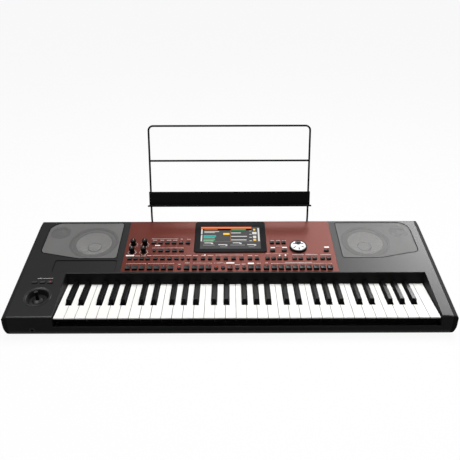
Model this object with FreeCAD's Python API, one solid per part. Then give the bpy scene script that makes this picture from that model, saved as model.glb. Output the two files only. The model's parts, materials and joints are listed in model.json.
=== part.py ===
"""Arranger keyboard: 61 keys, built-in speakers, a centre control panel and a wire music rest."""
import FreeCAD
import Part
import math
import os

from FreeCAD import Placement, Rotation, Vector

# Fits shared by all pieces
OVERRUN = 6.0
SEAT_GAP = 0.3
RUNNING_GAP = 0.08
LEAST_LENGTH = 0.001

# Keyboard
WHITE_PITCH = 24.0
KEY_GAP = 1.0
KEY_END_GAP = 1.5
OCTAVES = 5
KEY_TOP = 56.0
KEY_FRONT_SETBACK = 6.0
KEY_PLATE = 3.0
KEY_LIP = 12.0
KEY_WALL = 1.5
KEY_SEAM = 0.1
KEY_NOSE_ROUND = 1.4
KEY_SKIRT_BOTTOM = 38.0
WHITE_HEAD = 49.5
WHITE_SURFACE = 150.0
BLACK_WIDTH = 12.5
BLACK_TOP_WIDTH = 9.4
BLACK_FRONT = 51.2
BLACK_NOSE_SLOPE = 6.5
BLACK_REAR = 136.5
BLACK_RISE = 11.5
BLACK_SINK = 2.0
KEY_BAR_WIDTH = 9.0
KEY_BAR_LOW = 41.0
KEY_BAR_HIGH = 53.0
KEY_PIVOT_REACH = 205.0
KEY_PIVOT_HEIGHT = 46.5
KEY_BAR_TAIL = 12.0
KEY_TONGUE_REACH = 36.0
KEY_DIP = 10.0
ACTUATOR_REACH = 110.0
ACTUATOR_THICKNESS = 2.0

# Key action under the keys
ROD_RADIUS = 2.0
FRAME_SHEET = 2.0
FRAME_FRONT_REACH = 14.5
FRAME_REAR_OVERHANG = 17.0
FRAME_DECK = 26.0
POST_DEPTH = 8.0
WHITE_POST_REACH = 26.0
BLACK_POST_REACH = 64.0
GUIDE_GAP = 0.5
BRACKET_RISE = 26.0
BRACKET_DEPTH = 18.0
REST_RAIL_DEPTH = 8.0
REST_RAIL_TOP = 38.0
FRONT_FELT_REACH = 15.0
FRONT_FELT_DEPTH = 9.0
SPRING_WIDTH = 5.0
SPRING_SHEET = 0.8
SPRING_FOOT_SETBACK = 11.0
SPRING_FOOT = 7.0
SPRING_TIP_SETBACK = 41.0
SPRING_TIP = 5.0
BOARD_SHEET = 1.6
CONTACT_BOARD_DEPTH = 34.0
CONTACT_STRIP_DEPTH = 18.0
CONTACT_STRIP_SHEET = 1.0
DOME_FOOT_RADIUS = 4.0
DOME_TOP_RADIUS = 2.4

# Case
LEFT_CHEEK = 114.5
RIGHT_CHEEK = 38.5
TOP_DEPTH = 352.0
REAR_STEP = 24.0
FOOT_HEIGHT = 8.0
SEAM_HEIGHT = 36.0
FRONT_EDGE_HEIGHT = 62.7
REAR_EDGE_HEIGHT = 126.0
LEDGE_DROP = 14.0
LEDGE_STEP_RUN = 2.0
LEDGE_CHAMFER = 6.0
WALL = 3.0
DECK = 4.0
SIDE_ROUND = 14.0
LOWER_SIDE_ROUND = 12.0
LOWER_FRONT_ROUND = 20.0
LOWER_REAR_ROUND = 8.0
FRONT_EDGE_ROUND = 6.0
REAR_EDGE_ROUND = 4.0
FRONT_CORNER_ROUND = 8.0
REAR_TAPER_WIDTH = 12.0
REAR_TAPER_DEPTH = 48.0
REAR_TAPER_ROUND = 30.0
FALLBOARD_REACH = 138.0
FALLBOARD_GAP = 1.5
LIP_ROUND = 1.6
FOOT_RADIUS = 12.0
FOOT_TAPER = 2.0
FOOT_INSET = 45.0
BOSS_RADIUS = 5.0
BOSS_INSET = 20.0
SCREW_RADIUS = 1.5
SCREW_LENGTH = 38.0
SCREW_HEAD_RADIUS = 3.2
SCREW_HEAD_HEIGHT = 2.4
SCREW_SINK = 4.0
BOSS_REST_OFFSET = 44.5
SIDE_BOSS_SHARES = (0.08, 0.62)

# Control panel and what is let into it
PANEL_WIDTH = 530.0
PANEL_DEPTH = 203.0
PANEL_FRONT = 151.4
PANEL_SHEET = 2.0
PANEL_LEDGE = 3.5
PANEL_CORNER = 3.0
CAP_CHAMFER = 0.7
CAP_FLANGE = 1.0
CAP_FLANGE_SHEET = 1.2
CAP_TRAVEL = 1.0
SWITCH_RISE = 1.5
SWITCH_SIDE = 5.0
FRONT_CAP_SPACE = 4.4
FRONT_CAP_DEPTH = 13.4
FRONT_CAP_RISE = 5.5
SMALL_CAP_SPACE = 4.4
SMALL_CAP_DEPTH = 8.0
SMALL_CAP_RISE = 4.2
PAIR_CAP_SPACE = 16.7
UPPER_CAP_SPACE = 6.1
UPPER_CAP_DEPTH = 8.6
UPPER_CAP_RISE = 4.0
FRONT_ROUND_CAP_RADIUS = 4.8
SMALL_ROUND_CAP_RADIUS = 4.2
ROUND_CAP_RISE = 3.8
PILLAR_RADIUS = 2.5
PILLAR_SHARES = ((-0.45, 0.15), (-0.22, 0.15), (0.22, 0.15), (0.45, 0.15), (-0.38, 0.31), (0.38, 0.31))

# Button places, as shares of the panel: across from its left side, and back from its front edge
FRONT_ROW_SHARE = 0.059
MIDDLE_ROW_SHARE = 0.232
LOWER_ROW_SHARE = 0.387
UPPER_ROW_SHARE = 0.542
FRONT_STEP_SHARE = 0.0321
MIDDLE_STEP_SHARE = 0.0283
WIDE_STEP_SHARE = 0.033
DISPLAY_STEP_SHARE = 0.0368
PAIR_STEP_SHARE = 0.0556

# Kinds of button cap: width, depth and rise, with no depth for a round cap
CAP_SIZES = {
    "front": (PANEL_WIDTH * FRONT_STEP_SHARE - FRONT_CAP_SPACE, FRONT_CAP_DEPTH, FRONT_CAP_RISE),
    "small": (PANEL_WIDTH * MIDDLE_STEP_SHARE - SMALL_CAP_SPACE, SMALL_CAP_DEPTH, SMALL_CAP_RISE),
    "pair": (PANEL_WIDTH * PAIR_STEP_SHARE - PAIR_CAP_SPACE, SMALL_CAP_DEPTH, SMALL_CAP_RISE),
    "upper": (PANEL_WIDTH * WIDE_STEP_SHARE - UPPER_CAP_SPACE, UPPER_CAP_DEPTH, UPPER_CAP_RISE),
    "front_round": (2 * FRONT_ROUND_CAP_RADIUS, 0, ROUND_CAP_RISE),
    "small_round": (2 * SMALL_ROUND_CAP_RADIUS, 0, ROUND_CAP_RISE),
}

# Runs of buttons: kind of cap, row, first place, number of caps and step
BUTTON_RUN_SHARES = {
    "upper_left_buttons": (
        ("upper", UPPER_ROW_SHARE, 0.132, 6, WIDE_STEP_SHARE),
        ("upper", LOWER_ROW_SHARE, 0.171, 4, WIDE_STEP_SHARE),
        ("small_round", LOWER_ROW_SHARE, 0.14, 1, 0),
    ),
    "middle_left_buttons": (
        ("small", MIDDLE_ROW_SHARE, 0.031, 4, MIDDLE_STEP_SHARE),
        ("small", MIDDLE_ROW_SHARE, 0.152, 4, WIDE_STEP_SHARE),
        ("small_round", MIDDLE_ROW_SHARE, 0.279, 2, MIDDLE_STEP_SHARE),
        ("small", MIDDLE_ROW_SHARE, 0.336, 1, 0),
        ("small", MIDDLE_ROW_SHARE, 0.375, 2, WIDE_STEP_SHARE),
    ),
    "middle_centre_buttons": (
        ("small", MIDDLE_ROW_SHARE, 0.445, 4, DISPLAY_STEP_SHARE),
        ("small", MIDDLE_ROW_SHARE, 0.595, 2, WIDE_STEP_SHARE),
    ),
    "middle_right_buttons": (
        ("small", MIDDLE_ROW_SHARE, 0.678, 4, MIDDLE_STEP_SHARE),
        ("small", MIDDLE_ROW_SHARE, 0.805, 2, MIDDLE_STEP_SHARE),
        ("small", MIDDLE_ROW_SHARE, 0.8706, 2, MIDDLE_STEP_SHARE),
        ("small", MIDDLE_ROW_SHARE, 0.936, 2, MIDDLE_STEP_SHARE),
    ),
    "front_left_buttons": (
        ("front", FRONT_ROW_SHARE, 0.031, 3, FRONT_STEP_SHARE),
        ("front", FRONT_ROW_SHARE, 0.132, 4, FRONT_STEP_SHARE),
        ("front_round", FRONT_ROW_SHARE, 0.267, 1, 0),
    ),
    "front_centre_buttons": (
        ("front", FRONT_ROW_SHARE, 0.3016, 1, 0),
        ("front", FRONT_ROW_SHARE, 0.338, 3, FRONT_STEP_SHARE),
        ("front_round", FRONT_ROW_SHARE, 0.4375, 2, FRONT_STEP_SHARE),
        ("front_round", FRONT_ROW_SHARE, 0.5345, 2, FRONT_STEP_SHARE),
    ),
    "start_button": (
        ("front", FRONT_ROW_SHARE, 0.5017, 1, 0),
    ),
    "front_right_buttons": (
        ("front", FRONT_ROW_SHARE, 0.598, 2, FRONT_STEP_SHARE),
        ("front", FRONT_ROW_SHARE, 0.669, 1, 0),
        ("front", FRONT_ROW_SHARE, 0.705, 9, FRONT_STEP_SHARE),
    ),
    "display_side_buttons": (
        ("small", UPPER_ROW_SHARE, 0.705, 3, MIDDLE_STEP_SHARE),
        ("pair", LOWER_ROW_SHARE, 0.705, 2, PAIR_STEP_SHARE),
        ("upper", LOWER_ROW_SHARE, 0.961, 1, 0),
    ),
}

# Display
BEZEL_WIDTH_SHARE = 0.349
BEZEL_ACROSS_SHARE = 0.0034
BEZEL_DEPTH = 128.0
BEZEL_RISE = 3.0
BEZEL_CORNER = 8.0
BEZEL_CENTRE_SHARE = 0.6645
SCREEN_SIDE = 15.0
SCREEN_DEPTH = 92.5
SCREEN_FORWARD = 4.6
SCREEN_BORDER = 3.0
SCREEN_COVER = 1.0
SCREEN_THICKNESS = 7.0
BEZEL_WINDOW_CORNER = 1.5

# Dial and knobs
DIAL_ACROSS_SHARE = 0.829
DIAL_BACK_SHARE = 0.453
DIAL_RADIUS = 18.8
DIAL_RISE = 7.0
DIAL_EDGE_ROUND = 2.0
DIAL_RING_RADIUS = 22.0
DIAL_RING_RISE = 6.0
DIAL_RING_FLOOR = 1.0
DIAL_GAP = 0.6
DIMPLE_RADIUS = 9.0
DIMPLE_DEPTH = 2.2
DIMPLE_OFFSET = 10.5
KNOB_RADIUS = 6.2
KNOB_TOP_RADIUS = 5.4
KNOB_RISE = 16.0
KNOB_CHAMFER = 0.8
KNOB_CLEAR = 1.2
SPINDLE_RADIUS = 3.0
BUSH_RADIUS = 4.2
BUSH_RISE = 0.6
CONTROL_BODY_SIDE = 12.0
CONTROL_BODY_DEPTH = 7.0
KNOB_PLACES_SHARES = {
    "upper_left_knob": (0.036, 0.513),
    "upper_right_knob": (0.091, 0.513),
    "lower_left_knob": (0.036, 0.362),
    "lower_right_knob": (0.091, 0.362),
}

# Speakers
GRILLE_SIDE_MARGIN = 32.0
GRILLE_PANEL_GAP = 16.0
GRILLE_FRONT = 202.0
GRILLE_REAR = 350.0
GRILLE_SHEET = 1.6
GRILLE_SLANT_DEPTH = 24.0
GRILLE_SLANT_SHARE = 0.5
GRILLE_REAR_CORNER = 34.0
GRILLE_FRONT_CORNER = 14.0
GRILLE_INNER_CORNER = 8.0
WOOFER_ACROSS_SHARE = 0.35
WOOFER_BACK_SHARE = 0.44
WOOFER_CONE_RADIUS = 46.0
WOOFER_SURROUND_RADIUS = 57.0
WOOFER_FLANGE_RADIUS = 63.0
WOOFER_FLANGE_SHEET = 2.5
WOOFER_DEPTH = 34.0
WOOFER_NECK_RADIUS = 20.0
WOOFER_SHEET = 1.2
WOOFER_CAP_RADIUS = 15.0
WOOFER_CAP_SHOULDER_SHARE = 0.7
WOOFER_CONE_DEPTH = 18.0
MAGNET_RADIUS = 32.0
MAGNET_HEIGHT = 14.0
TWEETER_ACROSS_SHARE = 0.83
TWEETER_BACK_SHARE = 0.72
TWEETER_RADIUS = 24.0
TWEETER_DOME_RADIUS = 12.5
TWEETER_DOME_RISE = 1.6
TWEETER_SHOULDER_SHARE = 0.7
TWEETER_FLANGE = 4.0
TWEETER_DEPTH = 16.0
TWEETER_MAGNET_RADIUS = 16.0

# Left cheek
PAD_SIDE_MARGIN = 78.0
PAD_WIDTH = 153.5
PAD_FRONT = 151.0
PAD_DEPTH = 44.5
PAD_SINK = 1.5
PAD_CORNER = 6.0
CHEEK_SWITCH_SHARES = (0.42, 0.585, 0.742)
CHEEK_SWITCH_BACK = 113.8
CHEEK_SWITCH_WIDTH = 12.5
CHEEK_SWITCH_DEPTH = 6.5
CHEEK_SWITCH_RISE = 2.5

# Joystick
JOYSTICK_ACROSS_SHARE = 0.585
JOYSTICK_BACK = 65.0
JOYSTICK_TILT_DEG = 15.0
CUP_RADIUS = 28.0
CUP_RIM = 1.0
CUP_RIM_RISE = 0.8
CUP_FLOOR = 5.0
CUP_SHEET = 2.0
JOYSTICK_DOME_RADIUS = 20.0
JOYSTICK_DOME_SHEET = 1.5
JOYSTICK_DOME_RISE = -6.0
JOYSTICK_DOME_SPAN_DEG = 60.0
JOYSTICK_HOLE_GAP = 0.5
JOYSTICK_COVER_DEG = 2.0
STICK_RISE = 18.0
STICK_FOOT_RADIUS = 4.6
STICK_WAIST_RADIUS = 3.4
STICK_HEAD_RADIUS = 4.6
STICK_HEAD_LENGTH = 9.0
STICK_ROUND = 2.0
GIMBAL_PIN_RADIUS = 2.0
GIMBAL_HALF_WIDTH = 12.0
GIMBAL_HALF_DEPTH = 9.0
GIMBAL_HALF_HEIGHT = 3.2
GIMBAL_WALL = 4.0
GIMBAL_SHAFT_RADIUS = 3.0
EAR_OFFSET = 21.5
EAR_SHEET = 3.0
EAR_HALF_WIDTH = 5.0

# Music rest
REST_HALF_WIDTH = 210.5
REST_TOP = 373.0
REST_LEAN_DEG = 11.7
REST_WIRE_RADIUS = 2.5
REST_PEG_SETBACK = 9.0
REST_PEG_DEPTH = 25.0
REST_NECK = 26.0
REST_BEND_ROUND = 30.0
REST_CORNER_ROUND = 12.0
REST_BAR_HEIGHT = 284.0
REST_PLATE_BOTTOM = 166.0
REST_PLATE_HEIGHT = 38.0
REST_PLATE_SHEET = 1.5
REST_PLATE_OVERLAP = 2.0
REST_LEDGE_OVERLAP = 4.7
REST_LEDGE_DEPTH = 14.0
REST_LEDGE_LIP = 4.0
SOCKET_RADIUS = 5.5
SOCKET_FLANGE_RADIUS = 7.0
SOCKET_FLANGE_SHEET = 1.2
SOCKET_BOTTOM = 3.0

# Boards and sockets
STANDOFF_RADIUS = 3.5
STANDOFF_HEIGHT = 6.0
STANDOFF_INSET = 8.0
MAIN_BOARD_WIDTH = 260.0
MAIN_BOARD_GAP = 20.0
MAIN_BOARD_ACROSS_SHARE = -0.06
SUPPLY_WIDTH = 110.0
SUPPLY_DEPTH = 74.0
SUPPLY_ACROSS_SHARE = 0.33
BOARD_REAR_MARGIN = 28.0
CHIP_SIDE = 24.0
CHIP_RISE = 3.0
HEAT_SINK_RISE = 18.0
TRANSFORMER_SIDE = 34.0
TRANSFORMER_RISE = 30.0
CAPACITOR_RADIUS = 8.0
CAPACITOR_RISE = 26.0
CONNECTOR_HEIGHT = 70.0
JACK_SHARES = (-0.19, -0.155, -0.12, -0.085)
JACK_BORE_RADIUS = 3.2
JACK_BODY_RADIUS = 6.0
JACK_COLLAR_RADIUS = 7.2
JACK_COLLAR = 2.0
JACK_BORE_LENGTH = 18.0
JACK_LENGTH = 21.0
HEADPHONE_HEIGHT = 27.0
HEADPHONE_INSET = 2.5
DIN_SHARES = (0.0, 0.035)
DIN_RADIUS = 8.5
DIN_RISE = 1.5
DIN_LENGTH = 12.0
DIN_PIN_RADIUS = 1.1
DIN_PIN_CIRCLE = 5.0
DIN_PIN_DEPTH = 3.0
PORT_SHARE = 0.072
PORT_WIDTH = 12.0
PORT_HEIGHT = 11.0
PORT_WALL = 1.5
PORT_RECESS = 3.4
INLET_SHARE = 0.36
INLET_WIDTH = 24.0
INLET_HEIGHT = 16.0
INLET_WALL = 3.0
INLET_RECESS = 12.0
INLET_LENGTH = 20.0
INLET_RIM = 3.0
INLET_PIN_RADIUS = 1.2
INLET_PIN_OFFSET = 5.2
INLET_PIN_LENGTH = 9.0
POWER_SHARE = 0.32
POWER_WIDTH = 14.0
POWER_HEIGHT = 10.0
POWER_RISE = 3.0
POWER_FLANGE = 1.5
POWER_LENGTH = 12.0

# Sizes that follow from the ones above
KEY_SPAN = WHITE_PITCH * (7 * OCTAVES + 1)
BODY_WIDTH = LEFT_CHEEK + KEY_SPAN + 2 * KEY_END_GAP + RIGHT_CHEEK
BODY_DEPTH = TOP_DEPTH + REAR_STEP
HALF_WIDTH = BODY_WIDTH / 2
SLOPE = math.atan2(REAR_EDGE_HEIGHT - FRONT_EDGE_HEIGHT, TOP_DEPTH)
LEDGE_HEIGHT = REAR_EDGE_HEIGHT - LEDGE_DROP
REST_BEND_HEIGHT = LEDGE_HEIGHT + REST_NECK
REST_LEAN = math.tan(math.radians(REST_LEAN_DEG))
REST_TOP_BACK = REST_PEG_SETBACK + (REST_TOP - REST_BEND_HEIGHT) * REST_LEAN
REST_OVERHANG = REST_TOP_BACK + REST_WIRE_RADIUS - REAR_STEP
FRONT_Y = -(BODY_DEPTH + REST_OVERHANG) / 2
REAR_EDGE_Y = FRONT_Y + TOP_DEPTH
REAR_Y = FRONT_Y + BODY_DEPTH
FLOOR_TOP = FOOT_HEIGHT + WALL
SCREW_SEAT = FOOT_HEIGHT + SCREW_SINK
SCREW_TIP = SCREW_SEAT + SCREW_LENGTH
WELL_LEFT = -HALF_WIDTH + LEFT_CHEEK
WELL_RIGHT = HALF_WIDTH - RIGHT_CHEEK
KEYS_LEFT = WELL_LEFT + KEY_END_GAP
KEYS_RIGHT = WELL_RIGHT - KEY_END_GAP
KEY_FRONT_Y = FRONT_Y + KEY_FRONT_SETBACK
PIVOT_Y = KEY_FRONT_Y + KEY_PIVOT_REACH
FRAME_REAR_REACH = KEY_PIVOT_REACH + FRAME_REAR_OVERHANG
SPRING_FOOT_REACH = KEY_PIVOT_REACH - SPRING_FOOT_SETBACK
SPRING_TIP_REACH = KEY_PIVOT_REACH - SPRING_TIP_SETBACK
WELL_REAR = KEY_FRONT_Y + FALLBOARD_REACH
PANEL_LEFT = -PANEL_WIDTH / 2
GRILLE_WIDTH = HALF_WIDTH - GRILLE_SIDE_MARGIN - PANEL_WIDTH / 2 - GRILLE_PANEL_GAP
GRILLE_LEFT = PANEL_WIDTH / 2 + GRILLE_PANEL_GAP
GRILLE_DEPTH = GRILLE_REAR - GRILLE_FRONT
FLANGE_TOP = -PANEL_SHEET - SEAT_GAP
FLANGE_LOW = FLANGE_TOP - CAP_FLANGE_SHEET
SWITCH_TOP = FLANGE_LOW - CAP_TRAVEL - SEAT_GAP
PANEL_BOARD_TOP = SWITCH_TOP - SWITCH_RISE
PANEL_BOARD_LOW = PANEL_BOARD_TOP - BOARD_SHEET
SPINDLE_END = PANEL_BOARD_LOW - CONTROL_BODY_DEPTH / 2
BEZEL_WIDTH = PANEL_WIDTH * BEZEL_WIDTH_SHARE
BEZEL_X = PANEL_WIDTH * BEZEL_ACROSS_SHARE
SCREEN_WIDTH = BEZEL_WIDTH - 2 * SCREEN_SIDE
BEZEL_BACK = PANEL_FRONT + PANEL_DEPTH * BEZEL_CENTRE_SHARE
SCREEN_BACK = BEZEL_BACK - SCREEN_FORWARD
SCREEN_TOP = BEZEL_RISE - SCREEN_COVER
JOYSTICK_X = -HALF_WIDTH + LEFT_CHEEK * JOYSTICK_ACROSS_SHARE
JOYSTICK_PIVOT = JOYSTICK_DOME_RISE - JOYSTICK_DOME_RADIUS
CONTACT_BOARD_TOP = FRAME_DECK + BOARD_SHEET
CONTACT_STRIP_TOP = CONTACT_BOARD_TOP + CONTACT_STRIP_SHEET
PEG_Y = REAR_EDGE_Y + REST_PEG_SETBACK
BOARD_LOW = FLOOR_TOP + STANDOFF_HEIGHT
BOARD_REAR = REAR_Y - BOARD_REAR_MARGIN
MAIN_BOARD_DEPTH = BOARD_REAR - KEY_FRONT_Y - FRAME_REAR_REACH - MAIN_BOARD_GAP
TOP_PLANE = Placement(Vector(0, FRONT_Y, FRONT_EDGE_HEIGHT), Rotation(Vector(1, 0, 0), math.degrees(SLOPE)))

# One octave: for each white key, how many black slots cut its left and right sides
WHITE_NAMES = ("c", "d", "e", "f", "g", "a", "b")
BLACK_NAMES = {"c": "c_sharp", "d": "d_sharp", "f": "f_sharp", "g": "g_sharp", "a": "a_sharp"}
KEY_GROUPS = (("c", "d", "e"), ("f", "g", "a", "b"))


# Shapes used by many pieces

def rounded_edges(points, radii, closed=True):
    """Straight runs joined by tangent arcs at each corner that has a radius."""
    count = len(points)
    corners = []
    for index, point in enumerate(points):
        is_end = not closed and index in (0, count - 1)
        if is_end or radii[index] == 0:
            corners.append((point, None, point))
            continue
        back = (points[index - 1] - point).normalize()
        ahead = (points[(index + 1) % count] - point).normalize()
        half = back.getAngle(ahead) / 2
        reach = radii[index] / math.tan(half)
        crown = (back + ahead).normalize() * (radii[index] / math.sin(half) - radii[index])
        corners.append((point + back * reach, point + crown, point + ahead * reach))
    edges = []
    for index, (start, crown, end) in enumerate(corners):
        if crown is not None:
            edges.append(Part.Arc(start, crown, end).toShape())
        if closed or index < count - 1:
            following = corners[(index + 1) % count][0]
            if end.distanceToPoint(following) > LEAST_LENGTH:
                edges.append(Part.LineSegment(end, following).toShape())
    return edges


def outline(points, radii):
    """A closed wire in the XY plane from plain number pairs."""
    return Part.Wire(rounded_edges([Vector(x, y, 0) for x, y in points], radii))


def rectangle(width, depth, corner, x=0.0, y=0.0):
    """A closed rounded rectangle about a centre in the XY plane."""
    left, right = x - width / 2, x + width / 2
    front, rear = y - depth / 2, y + depth / 2
    return outline([(left, front), (right, front), (right, rear), (left, rear)], [corner] * 4)


def circle(radius, x=0.0, y=0.0):
    return Part.Wire(Part.makeCircle(radius, Vector(x, y, 0)))


def sheet(wires, low, high):
    """A flat plate with holes: the first wire is its outline."""
    face = Part.makeFace(wires, "Part::FaceMakerBullseye")
    face.translate(Vector(0, 0, low))
    return face.extrude(Vector(0, 0, high - low))


def block(x_low, x_high, y_low, y_high, z_low, z_high):
    size = (x_high - x_low, y_high - y_low, z_high - z_low)
    return Part.makeBox(*size, Vector(x_low, y_low, z_low))


def rod(radius, start, end):
    line = end - start
    return Part.makeCylinder(radius, line.Length, start, line)


def turned(points, radii=None):
    """A solid of revolution about Z from pairs of radius and height."""
    corners = [Vector(radius, 0, height) for radius, height in points]
    wire = Part.Wire(rounded_edges(corners, radii or [0] * len(points)))
    return Part.Face(wire).revolve(Vector(0, 0, 0), Vector(0, 0, 1), 360)


def along_x(points, radii, x_low, x_high):
    """A profile of depth and height pairs, drawn out sideways."""
    face = Part.Face(outline(points, radii))
    face.Placement = Placement(Vector(x_low, 0, 0), Rotation(Vector(1, 1, 1), 120))
    return face.extrude(Vector(x_high - x_low, 0, 0))


def placed(shape, placement):
    moved = shape.copy()
    moved.Placement = placement.multiply(moved.Placement)
    return moved


def on_top(shape, x=0.0, back=0.0, rise=0.0):
    """Sets a shape on the sloped top: sideways, back from the front edge and up from the surface."""
    return placed(shape, TOP_PLANE.multiply(Placement(Vector(x, back, rise), Rotation())))


def facing(shape, x, y, z, backwards):
    """Turns a shape's own +Z to point out of the rear wall, or out of the front wall."""
    angle = -90 if backwards else 90
    return placed(shape, Placement(Vector(x, y, z), Rotation(Vector(1, 0, 0), angle)))


def joined(shapes):
    first = shapes[0]
    return first.fuse(shapes[1:]).removeSplitter() if len(shapes) > 1 else first


def height_on_top(y, drop=0.0):
    return FRONT_EDGE_HEIGHT + (y - FRONT_Y) * math.tan(SLOPE) - drop / math.cos(SLOPE)


# Case

def plan_form(inset):
    """The case seen from above, drawn up through its whole height."""
    half = HALF_WIDTH - inset
    front, rear = FRONT_Y + inset, REAR_Y - inset
    narrow, straight = half - REAR_TAPER_WIDTH, rear - REAR_TAPER_DEPTH
    points = [(-half, front), (half, front), (half, straight), (narrow, rear), (-narrow, rear), (-half, straight)]
    corner = FRONT_CORNER_ROUND - inset
    end = LOWER_REAR_ROUND - inset
    wire = outline(points, [corner, corner, REAR_TAPER_ROUND, end, end, REAR_TAPER_ROUND])
    return sheet([wire], -OVERRUN, REAR_EDGE_HEIGHT + OVERRUN)


def upper_form(inset, deck, bottom):
    """The upper half of the case as a full body, drawn in by a wall and a deck thickness."""
    front, edge, rear = FRONT_Y + inset, REAR_EDGE_Y - inset, REAR_Y - inset
    ledge = LEDGE_HEIGHT - deck
    points = [
        (front, bottom),
        (front, height_on_top(front, deck)),
        (edge, height_on_top(edge, deck)),
        (edge + LEDGE_STEP_RUN, ledge),
        (rear - LEDGE_CHAMFER, ledge),
        (rear, ledge - LEDGE_CHAMFER),
        (rear, bottom),
    ]
    radii = [0, FRONT_EDGE_ROUND - inset, REAR_EDGE_ROUND - inset, 0, 0, 0, 0]
    body = along_x(points, radii, -HALF_WIDTH, HALF_WIDTH)
    half, low = HALF_WIDTH - inset, -REAR_EDGE_HEIGHT - OVERRUN
    side = SIDE_ROUND - inset
    section = outline([(-half, low), (half, low), (half, -deck), (-half, -deck)], [0, 0, side, side])
    face = Part.Face(section)
    face.Placement = Placement(Vector(0, -BODY_DEPTH, 0), Rotation(Vector(1, 0, 0), 90))
    crown = on_top(face.extrude(Vector(0, 3 * BODY_DEPTH, 0)))
    return body.common(crown).common(plan_form(inset))


def lower_form(inset, top):
    """The lower half of the case as a full body, drawn in by a wall."""
    front, rear, low = FRONT_Y + inset, REAR_Y - inset, FOOT_HEIGHT + inset
    points = [(front, low), (rear, low), (rear, top), (front, top)]
    radii = [LOWER_FRONT_ROUND - inset, LOWER_REAR_ROUND - inset, 0, 0]
    body = along_x(points, radii, -HALF_WIDTH, HALF_WIDTH)
    half, side = HALF_WIDTH - inset, LOWER_SIDE_ROUND - inset
    face = Part.Face(outline([(-half, low), (half, low), (half, top), (-half, top)], [side, side, 0, 0]))
    face.Placement = Placement(Vector(0, FRONT_Y, 0), Rotation(Vector(1, 0, 0), 90))
    return body.common(face.extrude(Vector(0, BODY_DEPTH, 0))).common(plan_form(inset))


def boss_places():
    """Where the case screws stand: along the rear and down both sides."""
    rear = REAR_Y - BOSS_INSET
    across = REST_HALF_WIDTH + BOSS_REST_OFFSET
    places = [(x, rear) for x in (-across, 0, across)]
    for side in (-1, 1):
        x = side * (HALF_WIDTH - BOSS_INSET)
        places += [(x, FRONT_Y + BODY_DEPTH * share) for share in SIDE_BOSS_SHARES]
        places.append((x - side * REAR_TAPER_WIDTH, rear))
    return places


def grille_outline(side, grow):
    """The speaker grille: square towards the panel, slanted and rounded towards the outside."""
    inner, outer = GRILLE_LEFT - grow, GRILLE_LEFT + GRILLE_WIDTH + grow
    front, rear = GRILLE_FRONT - grow, GRILLE_REAR + grow
    bend = GRILLE_LEFT + GRILLE_WIDTH * GRILLE_SLANT_SHARE
    points = [(inner, front), (bend, front), (outer, front + GRILLE_SLANT_DEPTH), (outer, rear), (inner, rear)]
    radii = [GRILLE_INNER_CORNER, GRILLE_SLANT_DEPTH, GRILLE_FRONT_CORNER, GRILLE_REAR_CORNER, GRILLE_INNER_CORNER]
    return outline([(side * x, y) for x, y in points], radii)


def woofer_place(side):
    x = side * (GRILLE_LEFT + GRILLE_WIDTH * WOOFER_ACROSS_SHARE)
    return x, GRILLE_FRONT + GRILLE_DEPTH * WOOFER_BACK_SHARE


def tweeter_place(side):
    x = side * (GRILLE_LEFT + GRILLE_WIDTH * TWEETER_ACROSS_SHARE)
    return x, GRILLE_FRONT + GRILLE_DEPTH * TWEETER_BACK_SHARE


def top_cuts():
    """Pockets and holes in the sloped top, on its own plane."""
    middle = PANEL_FRONT + PANEL_DEPTH / 2
    through = -DECK - OVERRUN
    window_width, window_depth = PANEL_WIDTH - 2 * PANEL_LEDGE, PANEL_DEPTH - 2 * PANEL_LEDGE
    pad_x = -HALF_WIDTH + PAD_SIDE_MARGIN + PAD_WIDTH / 2
    pad = rectangle(PAD_WIDTH, PAD_DEPTH, PAD_CORNER, pad_x, PAD_FRONT + PAD_DEPTH / 2)
    cuts = [
        sheet([rectangle(PANEL_WIDTH, PANEL_DEPTH, PANEL_CORNER, 0.0, middle)], -PANEL_SHEET, OVERRUN),
        sheet([rectangle(window_width, window_depth, PANEL_CORNER, 0.0, middle)], through, OVERRUN),
        sheet([pad], -PAD_SINK, OVERRUN),
        sheet([circle(CUP_RADIUS + SEAT_GAP, JOYSTICK_X, JOYSTICK_BACK)], through, OVERRUN),
    ]
    for side in (-1, 1):
        cuts.append(sheet([grille_outline(side, SEAT_GAP)], -GRILLE_SHEET, OVERRUN))
        cuts.append(sheet([circle(WOOFER_SURROUND_RADIUS, *woofer_place(side))], through, OVERRUN))
        cuts.append(sheet([circle(TWEETER_RADIUS - TWEETER_FLANGE, *tweeter_place(side))], through, OVERRUN))
    for x, back in cheek_switch_places():
        wire = cap_outline(CHEEK_SWITCH_WIDTH, CHEEK_SWITCH_DEPTH, SEAT_GAP, x, back)
        cuts.append(sheet([wire], through, OVERRUN))
    return [on_top(cut) for cut in cuts]


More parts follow.
